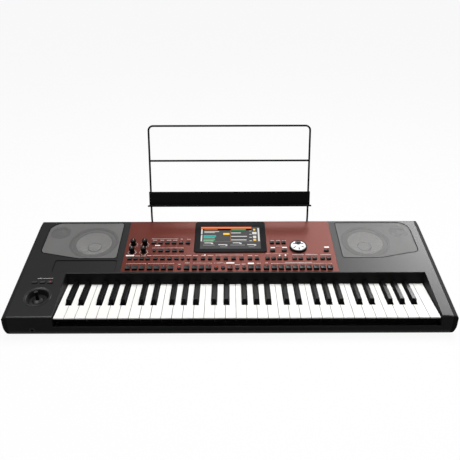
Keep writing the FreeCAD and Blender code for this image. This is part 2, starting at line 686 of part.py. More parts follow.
def rear_cuts():
    """Holes in the rear wall and in the ledge above it."""
    cuts = []
    hole = Part.makeCylinder(JACK_BODY_RADIUS + SEAT_GAP, 2 * OVERRUN, Vector(0, 0, -OVERRUN))
    for share in JACK_SHARES:
        cuts.append(facing(hole, BODY_WIDTH * share, REAR_Y, CONNECTOR_HEIGHT, True))
    din = Part.makeCylinder(DIN_RADIUS + SEAT_GAP, 2 * OVERRUN, Vector(0, 0, -OVERRUN))
    for share in DIN_SHARES:
        cuts.append(facing(din, BODY_WIDTH * share, REAR_Y, CONNECTOR_HEIGHT, True))
    openings = (
        (PORT_SHARE, PORT_WIDTH + 2 * PORT_WALL, PORT_HEIGHT + 2 * PORT_WALL),
        (INLET_SHARE, INLET_WIDTH, INLET_HEIGHT),
        (POWER_SHARE, POWER_WIDTH, POWER_HEIGHT),
    )
    for share, width, height in openings:
        wire = rectangle(width + 2 * SEAT_GAP, height + 2 * SEAT_GAP, 0)
        cuts.append(facing(sheet([wire], -OVERRUN, OVERRUN), BODY_WIDTH * share, REAR_Y, CONNECTOR_HEIGHT, True))
    for side in (-1, 1):
        socket = Vector(side * REST_HALF_WIDTH, PEG_Y, LEDGE_HEIGHT)
        cuts.append(rod(SOCKET_RADIUS + SEAT_GAP, socket - Vector(0, 0, 2 * DECK), socket + Vector(0, 0, DECK)))
    return cuts


def upper_case():
    """The upper shell: sloped top, cheeks, fallboard, ledge and rear wall."""
    outer = upper_form(0.0, 0.0, SEAM_HEIGHT)
    low, high = SEAM_HEIGHT - OVERRUN, REAR_EDGE_HEIGHT + OVERRUN
    well = block(WELL_LEFT, WELL_RIGHT, FRONT_Y - OVERRUN, WELL_REAR, low, high)
    walls = block(WELL_LEFT - WALL, WELL_RIGHT + WALL, FRONT_Y - OVERRUN, WELL_REAR + WALL, low, high)
    body = outer.cut(well)
    lip = [edge for edge in body.Edges if abs(edge.CenterOfMass.y - WELL_REAR) < LEAST_LENGTH
           and edge.CenterOfMass.z > KEY_TOP and edge.Length > WHITE_PITCH]
    body = body.makeFillet(LIP_ROUND, lip)
    hollow = upper_form(WALL, DECK, low).cut(walls)
    shell = body.cut(hollow)
    bosses = []
    for x, y in boss_places():
        foot = Vector(x, y, SEAM_HEIGHT)
        bosses.append(rod(BOSS_RADIUS, foot, foot + Vector(0, 0, REAR_EDGE_HEIGHT)).common(outer))
    shell = joined([shell] + bosses)
    key_slot = block(WELL_LEFT, WELL_RIGHT, WELL_REAR - OVERRUN, WELL_REAR + 2 * WALL, low, KEY_TOP + FALLBOARD_GAP)
    pilots = []
    for x, y in boss_places():
        pilots.append(rod(SCREW_RADIUS + RUNNING_GAP, Vector(x, y, low), Vector(x, y, SCREW_TIP + SEAT_GAP)))
    return shell.cut([key_slot] + pilots + top_cuts() + rear_cuts())


def standoff_places(width, depth, across_share):
    """The four screw corners of a board on the case floor."""
    x, y = BODY_WIDTH * across_share, BOARD_REAR - depth / 2
    reach_x, reach_y = width / 2 - STANDOFF_INSET, depth / 2 - STANDOFF_INSET
    return [(x + i * reach_x, y + j * reach_y) for i in (-1, 1) for j in (-1, 1)]


def board_places():
    places = standoff_places(MAIN_BOARD_WIDTH, MAIN_BOARD_DEPTH, MAIN_BOARD_ACROSS_SHARE)
    return places + standoff_places(SUPPLY_WIDTH, SUPPLY_DEPTH, SUPPLY_ACROSS_SHARE)


def headphone_place():
    """The seat of the headphone jack's collar, sunk in the front wall below the joystick."""
    return JOYSTICK_X, FRONT_Y + HEADPHONE_INSET, HEADPHONE_HEIGHT


def lower_case():
    """The lower tray: floor, front rail, side and rear walls, screw bosses and board standoffs."""
    shell = lower_form(0.0, SEAM_HEIGHT).cut(lower_form(WALL, SEAM_HEIGHT + OVERRUN))
    added, cuts = [shell], []
    for x, y in boss_places():
        added.append(rod(BOSS_RADIUS, Vector(x, y, FOOT_HEIGHT + LEAST_LENGTH), Vector(x, y, SEAM_HEIGHT)))
        cuts.append(rod(SCREW_RADIUS + SEAT_GAP, Vector(x, y, 0), Vector(x, y, SEAM_HEIGHT + OVERRUN)))
        cuts.append(rod(SCREW_HEAD_RADIUS + SEAT_GAP, Vector(x, y, 0), Vector(x, y, SCREW_SEAT)))
    for x, y in board_places():
        added.append(rod(STANDOFF_RADIUS, Vector(x, y, FLOOR_TOP - WALL / 2), Vector(x, y, BOARD_LOW)))
    hole = Part.makeCylinder(JACK_BODY_RADIUS + SEAT_GAP, 4 * OVERRUN, Vector(0, 0, -2 * OVERRUN))
    cuts.append(facing(hole, *headphone_place(), False))
    counterbore = Part.makeCylinder(JACK_COLLAR_RADIUS + SEAT_GAP, 2 * OVERRUN)
    cuts.append(facing(counterbore, *headphone_place(), False))
    return joined(added).common(lower_form(0.0, SEAM_HEIGHT)).cut(cuts)


def rubber_feet():
    """Six tapered feet under the flat of the floor."""
    foot = turned([(0, 0), (FOOT_RADIUS - FOOT_TAPER, 0), (FOOT_RADIUS, FOOT_HEIGHT), (0, FOOT_HEIGHT)])
    feet = []
    for x in (-HALF_WIDTH + FOOT_INSET, 0, HALF_WIDTH - FOOT_INSET):
        for y in (FRONT_Y + FOOT_INSET, REAR_Y - FOOT_INSET):
            feet.append(placed(foot, Placement(Vector(x, y, 0), Rotation())))
    return feet


def case_screws():
    """Screws from below: each head sits in a counterbore of the floor."""
    head = SCREW_SEAT - SCREW_HEAD_HEIGHT
    profile = [(0, head), (SCREW_HEAD_RADIUS, head), (SCREW_HEAD_RADIUS, SCREW_SEAT), (SCREW_RADIUS, SCREW_SEAT),
               (SCREW_RADIUS, SCREW_TIP), (0, SCREW_TIP)]
    screw = turned(profile)
    return [placed(screw, Placement(Vector(x, y, 0), Rotation())) for x, y in boss_places()]


# Buttons and the panel

def cap_outline(width, depth, grow, x, back):
    """The outline of one button, or of its hole. A button with no depth is round."""
    if depth == 0:
        return circle(width / 2 + grow, x, back)
    return rectangle(width + 2 * grow, depth + 2 * grow, 0, x, back)


def cap(width, depth, x, back, rise, sheet_below):
    """A button cap with a chamfered top and a flange that holds it under the sheet it comes through."""
    flange_top = -sheet_below - SEAT_GAP
    body = sheet([cap_outline(width, depth, 0.0, x, back)], flange_top - CAP_FLANGE_SHEET, rise)
    crown = [edge for edge in body.Edges if edge.BoundBox.ZMin > rise - LEAST_LENGTH]
    body = body.makeChamfer(CAP_CHAMFER, crown)
    flange = sheet([cap_outline(width, depth, CAP_FLANGE, x, back)], flange_top - CAP_FLANGE_SHEET, flange_top)
    return body.fuse(flange)


def button_banks():
    """The buttons of each group, as rows of width, depth, rise, sideways place and place back."""
    banks = {}
    for name, runs in BUTTON_RUN_SHARES.items():
        banks[name] = []
        for kind, row_share, first_share, count, step_share in runs:
            back = PANEL_FRONT + PANEL_DEPTH * row_share
            for index in range(count):
                across = PANEL_LEFT + PANEL_WIDTH * (first_share + step_share * index)
                banks[name].append((*CAP_SIZES[kind], across, back))
    return banks


def button_caps(places):
    return [on_top(cap(width, depth, x, back, rise, PANEL_SHEET)) for width, depth, rise, x, back in places]


def cheek_switch_places():
    return [(-HALF_WIDTH + LEFT_CHEEK * share, CHEEK_SWITCH_BACK) for share in CHEEK_SWITCH_SHARES]


def cheek_switches():
    """Three small switches behind the joystick."""
    size = (CHEEK_SWITCH_WIDTH, CHEEK_SWITCH_DEPTH)
    return [on_top(cap(*size, x, back, CHEEK_SWITCH_RISE, DECK)) for x, back in cheek_switch_places()]


def knob_place(name):
    across_share, back_share = KNOB_PLACES_SHARES[name]
    return PANEL_LEFT + PANEL_WIDTH * across_share, PANEL_FRONT + PANEL_DEPTH * back_share


def dial_place():
    return PANEL_LEFT + PANEL_WIDTH * DIAL_ACROSS_SHARE, PANEL_FRONT + PANEL_DEPTH * DIAL_BACK_SHARE


def rotary_places():
    return [knob_place(name) for name in KNOB_PLACES_SHARES] + [dial_place()]


def screen_outline(grow, corner=0):
    width, depth = SCREEN_WIDTH + 2 * SCREEN_BORDER, SCREEN_DEPTH + 2 * SCREEN_BORDER
    return rectangle(width + 2 * grow, depth + 2 * grow, corner, BEZEL_X, SCREEN_BACK)


def control_panel():
    """The panel sheet with a hole for each button, the screen and the rotary controls."""
    middle = PANEL_FRONT + PANEL_DEPTH / 2
    size = (PANEL_WIDTH - 2 * SEAT_GAP, PANEL_DEPTH - 2 * SEAT_GAP)
    wires = [rectangle(*size, PANEL_CORNER, 0.0, middle), screen_outline(SEAT_GAP)]
    for places in button_banks().values():
        wires += [cap_outline(width, depth, SEAT_GAP, x, back) for width, depth, rise, x, back in places]
    wires += [circle(BUSH_RADIUS + SEAT_GAP, x, back) for x, back in rotary_places()]
    return on_top(sheet(wires, -PANEL_SHEET, 0.0))


def panel_board():
    """The switch board behind the panel, with a switch under each button and pillars up to the panel."""
    middle = PANEL_FRONT + PANEL_DEPTH / 2
    size = (PANEL_WIDTH - 2 * PANEL_LEDGE - 2 * CAP_FLANGE, PANEL_DEPTH - 2 * PANEL_LEDGE - 2 * CAP_FLANGE)
    wires = [rectangle(*size, 0, 0.0, middle), screen_outline(CAP_FLANGE)]
    wires += [circle(BUSH_RADIUS + SEAT_GAP, x, back) for x, back in rotary_places()]
    shapes = [sheet(wires, PANEL_BOARD_LOW, PANEL_BOARD_TOP)]
    for places in button_banks().values():
        for width, depth, rise, x, back in places:
            wire = rectangle(SWITCH_SIDE, SWITCH_SIDE, 0, x, back)
            shapes.append(sheet([wire], PANEL_BOARD_TOP - BOARD_SHEET / 2, SWITCH_TOP))
    for across_share, back_share in PILLAR_SHARES:
        wire = circle(PILLAR_RADIUS, PANEL_WIDTH * across_share, PANEL_FRONT + PANEL_DEPTH * back_share)
        shapes.append(sheet([wire], PANEL_BOARD_TOP - BOARD_SHEET / 2, -PANEL_SHEET))
    return on_top(joined(shapes))


def rotary_controls():
    """Potentiometers and the dial's encoder: a body under the board and a bush up through the panel."""
    low = PANEL_BOARD_LOW - CONTROL_BODY_DEPTH
    body = sheet([rectangle(CONTROL_BODY_SIDE, CONTROL_BODY_SIDE, 0)], low, PANEL_BOARD_LOW)
    bush = Part.makeCylinder(BUSH_RADIUS, BUSH_RISE - PANEL_BOARD_LOW, Vector(0, 0, PANEL_BOARD_LOW))
    bore = Part.makeCylinder(SPINDLE_RADIUS + RUNNING_GAP, OVERRUN - SPINDLE_END, Vector(0, 0, SPINDLE_END - SEAT_GAP))
    control = joined([body, bush]).cut(bore)
    return [on_top(control, x, back) for x, back in rotary_places()]


def knob(name):
    """A tapered knob on its spindle."""
    points = [
        (0, SPINDLE_END),
        (SPINDLE_RADIUS, SPINDLE_END),
        (SPINDLE_RADIUS, BUSH_RISE + KNOB_CLEAR),
        (BUSH_RADIUS + KNOB_CLEAR / 2, BUSH_RISE + KNOB_CLEAR),
        (BUSH_RADIUS + KNOB_CLEAR / 2, KNOB_CLEAR / 2),
        (KNOB_RADIUS, KNOB_CLEAR / 2),
        (KNOB_TOP_RADIUS, KNOB_RISE - KNOB_CHAMFER),
        (KNOB_TOP_RADIUS - KNOB_CHAMFER, KNOB_RISE),
        (0, KNOB_RISE),
    ]
    return on_top(turned(points), *knob_place(name))


def dial_ring():
    """The black ring that the dial turns in, with its floor on the panel."""
    inner = DIAL_RADIUS + DIAL_GAP
    hole = BUSH_RADIUS + SEAT_GAP
    points = [(hole, 0), (DIAL_RING_RADIUS, 0), (DIAL_RING_RADIUS, DIAL_RING_RISE), (inner, DIAL_RING_RISE),
              (inner, DIAL_RING_FLOOR), (hole, DIAL_RING_FLOOR)]
    edge = (DIAL_RING_RADIUS - inner) / 3
    return on_top(turned(points, [0, 0, edge, edge, 0, 0]), *dial_place())


def data_dial():
    """The white dial on its spindle, with a finger dimple near its rear edge."""
    low = DIAL_RING_FLOOR + DIAL_GAP
    points = [(0, SPINDLE_END), (SPINDLE_RADIUS, SPINDLE_END), (SPINDLE_RADIUS, low), (DIAL_RADIUS, low),
              (DIAL_RADIUS, DIAL_RISE), (0, DIAL_RISE)]
    disc = turned(points, [0, 0, 0, 0, DIAL_EDGE_ROUND, 0])
    dimple = Part.makeSphere(DIMPLE_RADIUS, Vector(0, DIMPLE_OFFSET, DIAL_RISE + DIMPLE_RADIUS - DIMPLE_DEPTH))
    return on_top(disc.cut(dimple), *dial_place())


def display_bezel():
    """The raised black frame of the screen, with a rebate under its lip."""
    frame = sheet([rectangle(BEZEL_WIDTH, BEZEL_DEPTH, BEZEL_CORNER, BEZEL_X, BEZEL_BACK)], 0.0, BEZEL_RISE)
    crown = [edge for edge in frame.Edges if edge.BoundBox.ZMin > BEZEL_RISE - LEAST_LENGTH]
    frame = frame.makeChamfer(SCREEN_COVER, crown)
    window = rectangle(SCREEN_WIDTH, SCREEN_DEPTH, BEZEL_WINDOW_CORNER, BEZEL_X, SCREEN_BACK)
    rebate = sheet([screen_outline(SEAT_GAP)], -OVERRUN, SCREEN_TOP + LEAST_LENGTH)
    return on_top(frame.cut([sheet([window], -OVERRUN, 2 * OVERRUN), rebate]))


def display_screen():
    """The screen module, up through the panel to the lip of its bezel."""
    return on_top(sheet([screen_outline(0.0)], SCREEN_TOP - SCREEN_THICKNESS, SCREEN_TOP))


# Speakers

def speaker_grilles():
    return [on_top(sheet([grille_outline(side, 0.0)], -GRILLE_SHEET, 0.0)) for side in (-1, 1)]


def woofer_frames():
    """Steel baskets under the deck, each with its magnet behind it."""
    top = -DECK
    low, flange = top - WOOFER_DEPTH, top - WOOFER_FLANGE_SHEET
    points = [
        (WOOFER_SURROUND_RADIUS, top),
        (WOOFER_FLANGE_RADIUS, top),
        (WOOFER_FLANGE_RADIUS, flange),
        (WOOFER_SURROUND_RADIUS + WOOFER_SHEET, flange),
        (WOOFER_NECK_RADIUS + WOOFER_SHEET, low + WOOFER_SHEET),
        (WOOFER_NECK_RADIUS + WOOFER_SHEET, low),
        (0, low),
        (0, low + WOOFER_SHEET),
        (WOOFER_NECK_RADIUS - WOOFER_SHEET, low + 2 * WOOFER_SHEET),
        (WOOFER_SURROUND_RADIUS - WOOFER_SHEET, flange),
    ]
    basket = turned(points)
    magnet = Part.makeCylinder(MAGNET_RADIUS, MAGNET_HEIGHT, Vector(0, 0, low - MAGNET_HEIGHT))
    return [on_top(shape, *woofer_place(side)) for side in (-1, 1) for shape in (basket, magnet)]


def woofer_cones():
    """Cone, dust cap and rolled surround, as one thin shell of revolution."""
    rim = -DECK - WOOFER_SHEET
    floor = rim - WOOFER_CONE_DEPTH
    edge = WOOFER_SURROUND_RADIUS - WOOFER_SHEET - 2 * SEAT_GAP
    roll = (edge - WOOFER_CONE_RADIUS) / 2
    points = [
        (0, floor + WOOFER_CAP_RADIUS / 2),
        (WOOFER_CAP_RADIUS * WOOFER_CAP_SHOULDER_SHARE, floor + WOOFER_CAP_RADIUS / 3),
        (WOOFER_CAP_RADIUS, floor),
        (WOOFER_CONE_RADIUS, rim - roll / 2),
        (WOOFER_CONE_RADIUS + roll / 2, rim),
        (WOOFER_CONE_RADIUS + roll, rim + WOOFER_SHEET),
        (edge, rim - SEAT_GAP),
        (edge, rim - WOOFER_SHEET - SEAT_GAP),
        (WOOFER_CONE_RADIUS + roll, rim - SEAT_GAP),
        (WOOFER_CONE_RADIUS, rim - roll / 2 - WOOFER_SHEET),
        (WOOFER_CAP_RADIUS, floor - WOOFER_SHEET),
        (0, floor - WOOFER_SHEET),
    ]
    cone = turned(points)
    return [on_top(cone, *woofer_place(side)) for side in (-1, 1)]


def tweeters():
    """Small dome units under the deck beside the woofers."""
    top = -DECK
    low = top - TWEETER_DEPTH
    points = [
        (0, top + TWEETER_DOME_RISE),
        (TWEETER_DOME_RADIUS * TWEETER_SHOULDER_SHARE, top + TWEETER_DOME_RISE / 2),
        (TWEETER_DOME_RADIUS, top - TWEETER_DOME_RISE),
        (TWEETER_RADIUS - TWEETER_FLANGE, top - SEAT_GAP),
        (TWEETER_RADIUS, top - SEAT_GAP),
        (TWEETER_RADIUS, top - TWEETER_FLANGE),
        (TWEETER_MAGNET_RADIUS, top - TWEETER_FLANGE),
        (TWEETER_MAGNET_RADIUS, low),
        (0, low),
    ]
    unit = turned(points)
    return [on_top(unit, *tweeter_place(side)) for side in (-1, 1)]


# Joystick

def joystick_cup():
    """The round cup in the left cheek, with two ears below it that carry the gimbal."""
    hole_angle = math.radians(JOYSTICK_DOME_SPAN_DEG - JOYSTICK_TILT_DEG - JOYSTICK_COVER_DEG)
    hole = (JOYSTICK_DOME_RADIUS + JOYSTICK_HOLE_GAP) * math.sin(hole_angle)
    lip = JOYSTICK_PIVOT + JOYSTICK_DOME_RADIUS * math.cos(hole_angle)
    outside = CUP_RADIUS
    points = [
        (hole, lip),
        (outside - CUP_SHEET - CUP_FLOOR, lip - CUP_FLOOR / 4),
        (outside - CUP_SHEET, 0),
        (outside, CUP_RIM_RISE),
        (outside + CUP_RIM, CUP_RIM_RISE / 2),
        (outside + CUP_RIM, 0),
        (outside, 0),
        (outside, -DECK - CUP_SHEET),
        (outside - CUP_SHEET - CUP_FLOOR, lip - CUP_FLOOR / 4 - 2 * CUP_SHEET),
        (hole + CUP_SHEET, lip - CUP_SHEET),
    ]
    bowl = turned(points)
    shapes = [bowl]
    ear_top = lip - CUP_FLOOR / 4
    for side in (-1, 1):
        near, far = sorted((side * EAR_OFFSET, side * (EAR_OFFSET + EAR_SHEET)))
        low = JOYSTICK_PIVOT - EAR_HALF_WIDTH
        ear = block(-EAR_HALF_WIDTH, EAR_HALF_WIDTH, near, far, low, ear_top)
        bore = rod(GIMBAL_PIN_RADIUS + RUNNING_GAP, Vector(0, near - OVERRUN, JOYSTICK_PIVOT),
                   Vector(0, far + OVERRUN, JOYSTICK_PIVOT))
        shapes.append(ear.cut(bore))
    return on_top(joined(shapes), JOYSTICK_X, JOYSTICK_BACK)


def joystick_yoke():
    """The gimbal frame: trunnions front and rear, and bores at its sides for the lever's axle."""
    low, high = JOYSTICK_PIVOT - GIMBAL_HALF_HEIGHT, JOYSTICK_PIVOT + GIMBAL_HALF_HEIGHT
    outer = rectangle(2 * GIMBAL_HALF_WIDTH, 2 * GIMBAL_HALF_DEPTH, GIMBAL_WALL / 2)
    inner = rectangle(2 * (GIMBAL_HALF_WIDTH - GIMBAL_WALL), 2 * (GIMBAL_HALF_DEPTH - GIMBAL_WALL), 0)
    shapes = [sheet([outer, inner], low, high)]
    for side in (-1, 1):
        start = Vector(0, side * (GIMBAL_HALF_DEPTH - GIMBAL_WALL / 2), JOYSTICK_PIVOT)
        end = Vector(0, side * (EAR_OFFSET + EAR_SHEET), JOYSTICK_PIVOT)
        shapes.append(rod(GIMBAL_PIN_RADIUS, start, end))
    reach = Vector(GIMBAL_HALF_WIDTH + OVERRUN, 0, 0)
    centre = Vector(0, 0, JOYSTICK_PIVOT)
    bore = rod(GIMBAL_PIN_RADIUS + RUNNING_GAP, centre - reach, centre + reach)
    return on_top(joined(shapes).cut(bore), JOYSTICK_X, JOYSTICK_BACK)


def joystick_lever():
    """The stick on its domed skirt, with the shaft and axle that hang in the gimbal."""
    span = math.radians(JOYSTICK_DOME_SPAN_DEG)
    outer, inner = JOYSTICK_DOME_RADIUS, JOYSTICK_DOME_RADIUS - JOYSTICK_DOME_SHEET
    profile = []
    for radius, start, end in ((outer, 0, span), (inner, span, 0)):
        points = [Vector(radius * math.sin(angle), 0, JOYSTICK_PIVOT + radius * math.cos(angle))
                  for angle in (start, (start + end) / 2, end)]
        profile.append(points)
    edges = [Part.Arc(*points).toShape() for points in profile]
    edges.insert(1, Part.LineSegment(profile[0][2], profile[1][0]).toShape())
    edges.append(Part.LineSegment(profile[1][2], profile[0][0]).toShape())
    dome = Part.Face(Part.Wire(edges)).revolve(Vector(0, 0, 0), Vector(0, 0, 1), 360)
    foot = JOYSTICK_DOME_RISE - JOYSTICK_DOME_SHEET
    head = STICK_RISE - STICK_HEAD_LENGTH
    stick = turned(
        [(0, foot), (STICK_FOOT_RADIUS, foot), (STICK_WAIST_RADIUS, head - STICK_ROUND), (STICK_HEAD_RADIUS, head),
         (STICK_HEAD_RADIUS, STICK_RISE), (0, STICK_RISE)], [0, 0, 0, 0, STICK_ROUND, 0])
    low = JOYSTICK_PIVOT - GIMBAL_HALF_HEIGHT
    shaft = rod(GIMBAL_SHAFT_RADIUS, Vector(0, 0, low), Vector(0, 0, foot + JOYSTICK_DOME_SHEET / 2))
    reach = Vector(GIMBAL_HALF_WIDTH, 0, 0)
    centre = Vector(0, 0, JOYSTICK_PIVOT)
    axle = rod(GIMBAL_PIN_RADIUS, centre - reach, centre + reach)
    return on_top(joined([dome, stick, shaft, axle]), JOYSTICK_X, JOYSTICK_BACK)


# Music rest

def rest_back(height):
    """How far back the leaning wires stand at a height."""
    return PEG_Y + (height - REST_BEND_HEIGHT) * REST_LEAN


def rest_frame():
    """One bent wire: two pegs, two leaning uprights and the top bar."""
    top_y = rest_back(REST_TOP)
    low = LEDGE_HEIGHT - REST_PEG_DEPTH
    points = [
        Vector(-REST_HALF_WIDTH, PEG_Y, low),
        Vector(-REST_HALF_WIDTH, PEG_Y, REST_BEND_HEIGHT),
        Vector(-REST_HALF_WIDTH, top_y, REST_TOP),
        Vector(REST_HALF_WIDTH, top_y, REST_TOP),
        Vector(REST_HALF_WIDTH, PEG_Y, REST_BEND_HEIGHT),
        Vector(REST_HALF_WIDTH, PEG_Y, low),
    ]
    radii = [0, REST_BEND_ROUND, REST_CORNER_ROUND, REST_CORNER_ROUND, REST_BEND_ROUND, 0]
    path = Part.Wire(rounded_edges(points, radii, closed=False))
    section = Part.Wire(Part.makeCircle(REST_WIRE_RADIUS, points[0], Vector(0, 0, 1)))
    return path.makePipeShell([section], True, False)


def rest_crossbar():
    """The straight wire between the uprights, cut to their round sides."""
    y = rest_back(REST_BAR_HEIGHT)
    start = Vector(-REST_HALF_WIDTH, y, REST_BAR_HEIGHT)
    end = Vector(REST_HALF_WIDTH, y, REST_BAR_HEIGHT)
    return rod(REST_WIRE_RADIUS, start, end).cut(rest_frame())


def rest_plate():
    """The folded sheet on the front of the wires: a back leaf, and a wider ledge with a turned-up lip."""
    face = -REST_WIRE_RADIUS - SEAT_GAP
    sheet_front = face - REST_PLATE_SHEET
    lip = sheet_front - REST_LEDGE_DEPTH
    side = REST_HALF_WIDTH + REST_WIRE_RADIUS
    reach = side + REST_PLATE_OVERLAP
    leaf = along_x([(face, 0), (face, REST_PLATE_HEIGHT), (sheet_front, REST_PLATE_HEIGHT), (sheet_front, 0)],
                   [0] * 4, -reach, reach)
    points = [(face, 0), (face, REST_PLATE_SHEET), (lip + REST_PLATE_SHEET, REST_PLATE_SHEET),
              (lip + REST_PLATE_SHEET, REST_LEDGE_LIP), (lip, REST_LEDGE_LIP), (lip, 0)]
    reach = side + REST_LEDGE_OVERLAP
    ledge = along_x(points, [0] * len(points), -reach, reach)
    spot = Vector(0, rest_back(REST_PLATE_BOTTOM), REST_PLATE_BOTTOM)
    return placed(joined([leaf, ledge]), Placement(spot, Rotation(Vector(1, 0, 0), -REST_LEAN_DEG)))


def rest_sockets():
    """Two bushes let into the rear ledge that take the pegs."""
    depth = REST_PEG_DEPTH + SEAT_GAP
    bore = REST_WIRE_RADIUS + RUNNING_GAP
    points = [
        (0, -depth - SOCKET_BOTTOM),
        (SOCKET_RADIUS, -depth - SOCKET_BOTTOM),
        (SOCKET_RADIUS, 0),
        (SOCKET_FLANGE_RADIUS, 0),
        (SOCKET_FLANGE_RADIUS, SOCKET_FLANGE_SHEET),
        (bore, SOCKET_FLANGE_SHEET),
        (bore, -depth),
        (0, -depth),
    ]
    socket = turned(points)
    return [placed(socket, Placement(Vector(side * REST_HALF_WIDTH, PEG_Y, LEDGE_HEIGHT), Rotation()))
            for side in (-1, 1)]


# Keys and their action

def key_drop(reach):
    """How far a key sinks at full dip, at a distance back from its front."""
    return KEY_DIP * (KEY_PIVOT_REACH - reach) / KEY_PIVOT_REACH


def octave_layout():
    """One octave from its left end: the sides and tail of each white key, and the middle of each black key."""
    slot = BLACK_WIDTH + 2 * KEY_GAP
    layout = {}
    start = 0.0
    for group in KEY_GROUPS:
        tail = (WHITE_PITCH * len(group) - slot * (len(group) - 1)) / len(group)
        for index, name in enumerate(group):
            left = start + WHITE_PITCH * index
            tail_left = start + (tail + slot) * index
            layout[name] = (left, left + WHITE_PITCH, tail_left, tail_left + tail)
            if name in BLACK_NAMES:
                layout[BLACK_NAMES[name]] = (tail_left + tail + slot / 2,)
        start += WHITE_PITCH * len(group)
    return layout


def key_bar(middle):
    """The bar at the rear of a key, bored for the pivot rod."""
    half = KEY_BAR_WIDTH / 2
    front = KEY_FRONT_Y + WHITE_SURFACE - KEY_WALL
    bar = block(middle - half, middle + half, front, PIVOT_Y + KEY_BAR_TAIL, KEY_BAR_LOW, KEY_BAR_HIGH)
    reach = Vector(KEY_BAR_WIDTH, 0, 0)
    centre = Vector(middle, PIVOT_Y, KEY_PIVOT_HEIGHT)
    return bar, rod(ROD_RADIUS + RUNNING_GAP, centre - reach, centre + reach)


def actuator(left, right):
    """The cross rib inside a key that presses its contact dome."""
    y = KEY_FRONT_Y + ACTUATOR_REACH
    half = ACTUATOR_THICKNESS / 2
    return block(left, right, y - half, y + half, KEY_SKIRT_BOTTOM, KEY_TOP - KEY_PLATE)


def white_key(left, right, tail_left, tail_right):
    """A white key of two pieces: a lever with a rib and a rear bar, and a hollow head on the lever's tongue."""
    front, head, end = KEY_FRONT_Y, KEY_FRONT_Y + WHITE_HEAD, KEY_FRONT_Y + WHITE_SURFACE
    under, low = KEY_TOP - KEY_PLATE, KEY_SKIRT_BOTTOM - OVERRUN
    plate = block(left, right, front, head, under, KEY_TOP)
    nose = [edge for edge in plate.Edges if edge.BoundBox.YMax < front + LEAST_LENGTH
            and edge.BoundBox.ZMin > KEY_TOP - LEAST_LENGTH]
    plate = plate.makeFillet(KEY_NOSE_ROUND, nose)
    skirt = block(left, right, front + KEY_LIP, head, KEY_SKIRT_BOTTOM, under)
    hollow = block(left + KEY_WALL, right - KEY_WALL, front + KEY_LIP + KEY_WALL, head + OVERRUN, low, under)
    start, middle = head + KEY_SEAM, (tail_left + tail_right) / 2
    tail = block(tail_left, tail_right, start, end, KEY_SKIRT_BOTTOM, KEY_TOP)
    tail_hollow = block(tail_left + KEY_WALL, tail_right - KEY_WALL, start + KEY_WALL, end - KEY_WALL, low, under)
    half = KEY_BAR_WIDTH / 2
    tongue = block(middle - half, middle + half, front + KEY_TONGUE_REACH, start + KEY_WALL, KEY_BAR_LOW,
                   under - KEY_SEAM)
    bar, bore = key_bar(middle)
    rib = actuator(tail_left + KEY_WALL / 2, tail_right - KEY_WALL / 2)
    lever = joined([tail.cut(tail_hollow), tongue, rib, bar]).cut(bore)
    return [plate.fuse(skirt.cut(hollow)), lever]


def black_key(middle):
    """A black key: a tapered cap with a sloped front on a hollow body with a rib and a rear bar."""
    half, top_half = BLACK_WIDTH / 2, BLACK_TOP_WIDTH / 2
    front, cap_rear, end = KEY_FRONT_Y + BLACK_FRONT, KEY_FRONT_Y + BLACK_REAR, KEY_FRONT_Y + WHITE_SURFACE
    base, crest = KEY_TOP - BLACK_SINK, KEY_TOP + BLACK_RISE

    def level(width, start, stop, height):
        wire = outline([(middle - width, start), (middle + width, start), (middle + width, stop),
                        (middle - width, stop)], [0] * 4)
        wire.translate(Vector(0, 0, height))
        return wire

    foot = level(half, front, cap_rear, base)
    top = level(top_half, front + BLACK_NOSE_SLOPE, cap_rear, crest)
    crown = Part.makeLoft([foot, top], True, True)
    ridge = [edge for edge in crown.Edges if edge.BoundBox.ZMin > crest - LEAST_LENGTH
             and edge.BoundBox.YMin < cap_rear - LEAST_LENGTH]
    crown = crown.makeChamfer(CAP_CHAMFER, ridge)
    body = block(middle - half, middle + half, front, end, KEY_SKIRT_BOTTOM, base)
    low = KEY_SKIRT_BOTTOM - OVERRUN
    hollow = block(middle - half + KEY_WALL, middle + half - KEY_WALL, front + KEY_WALL, end - KEY_WALL, low,
                   base - KEY_PLATE)
    bar, bore = key_bar(middle)
    rib = actuator(middle - half + KEY_WALL / 2, middle + half - KEY_WALL / 2)
    return joined([crown, body.cut(hollow), rib, bar]).cut(bore)


def key_places():
    """Every key from left to right, as its name, its octave's left end and its layout."""
    layout = octave_layout()
    places = []
    for octave in range(OCTAVES):
        start = KEYS_LEFT + 7 * WHITE_PITCH * octave
        places += [(name, [start + value for value in values]) for name, values in layout.items()]
    last = KEYS_RIGHT - WHITE_PITCH
    places.append(("c", [last, KEYS_RIGHT, last, last + layout["c"][3]]))
    return places


def white_sides(values):
    """The sides and tail of a white key, drawn in by half a gap. The last key has a full tail."""
    left, right, tail_left, tail_right = values
    near, far = left + KEY_GAP / 2, right - KEY_GAP / 2
    tail_far = far if right > KEYS_RIGHT - LEAST_LENGTH else min(tail_right, far)
    return near, far, max(tail_left, near), tail_far


def key_set(name):
    """All keys of one note name."""
    keys = []
    for key_name, values in key_places():
        if key_name == name:
            keys += [black_key(values[0])] if len(values) == 1 else white_key(*white_sides(values))
    return keys


def key_middles():
    """The middle of each key at its head, the middle of its tail, and whether it is black."""
    middles = []
    for name, values in key_places():
        if len(values) == 1:
            middles.append((values[0], values[0], True))
            continue
        left, right, tail_left, tail_right = white_sides(values)
        middles.append(((left + right) / 2, (tail_left + tail_right) / 2, False))
    return middles


def bracket_places():
    """Rod brackets: one at each end and one between octaves."""
    between = [KEYS_LEFT + 7 * WHITE_PITCH * octave for octave in range(1, OCTAVES + 1)]
    return [KEYS_LEFT - FRAME_SHEET / 2] + between + [KEYS_RIGHT + FRAME_SHEET / 2 - KEY_END_GAP]


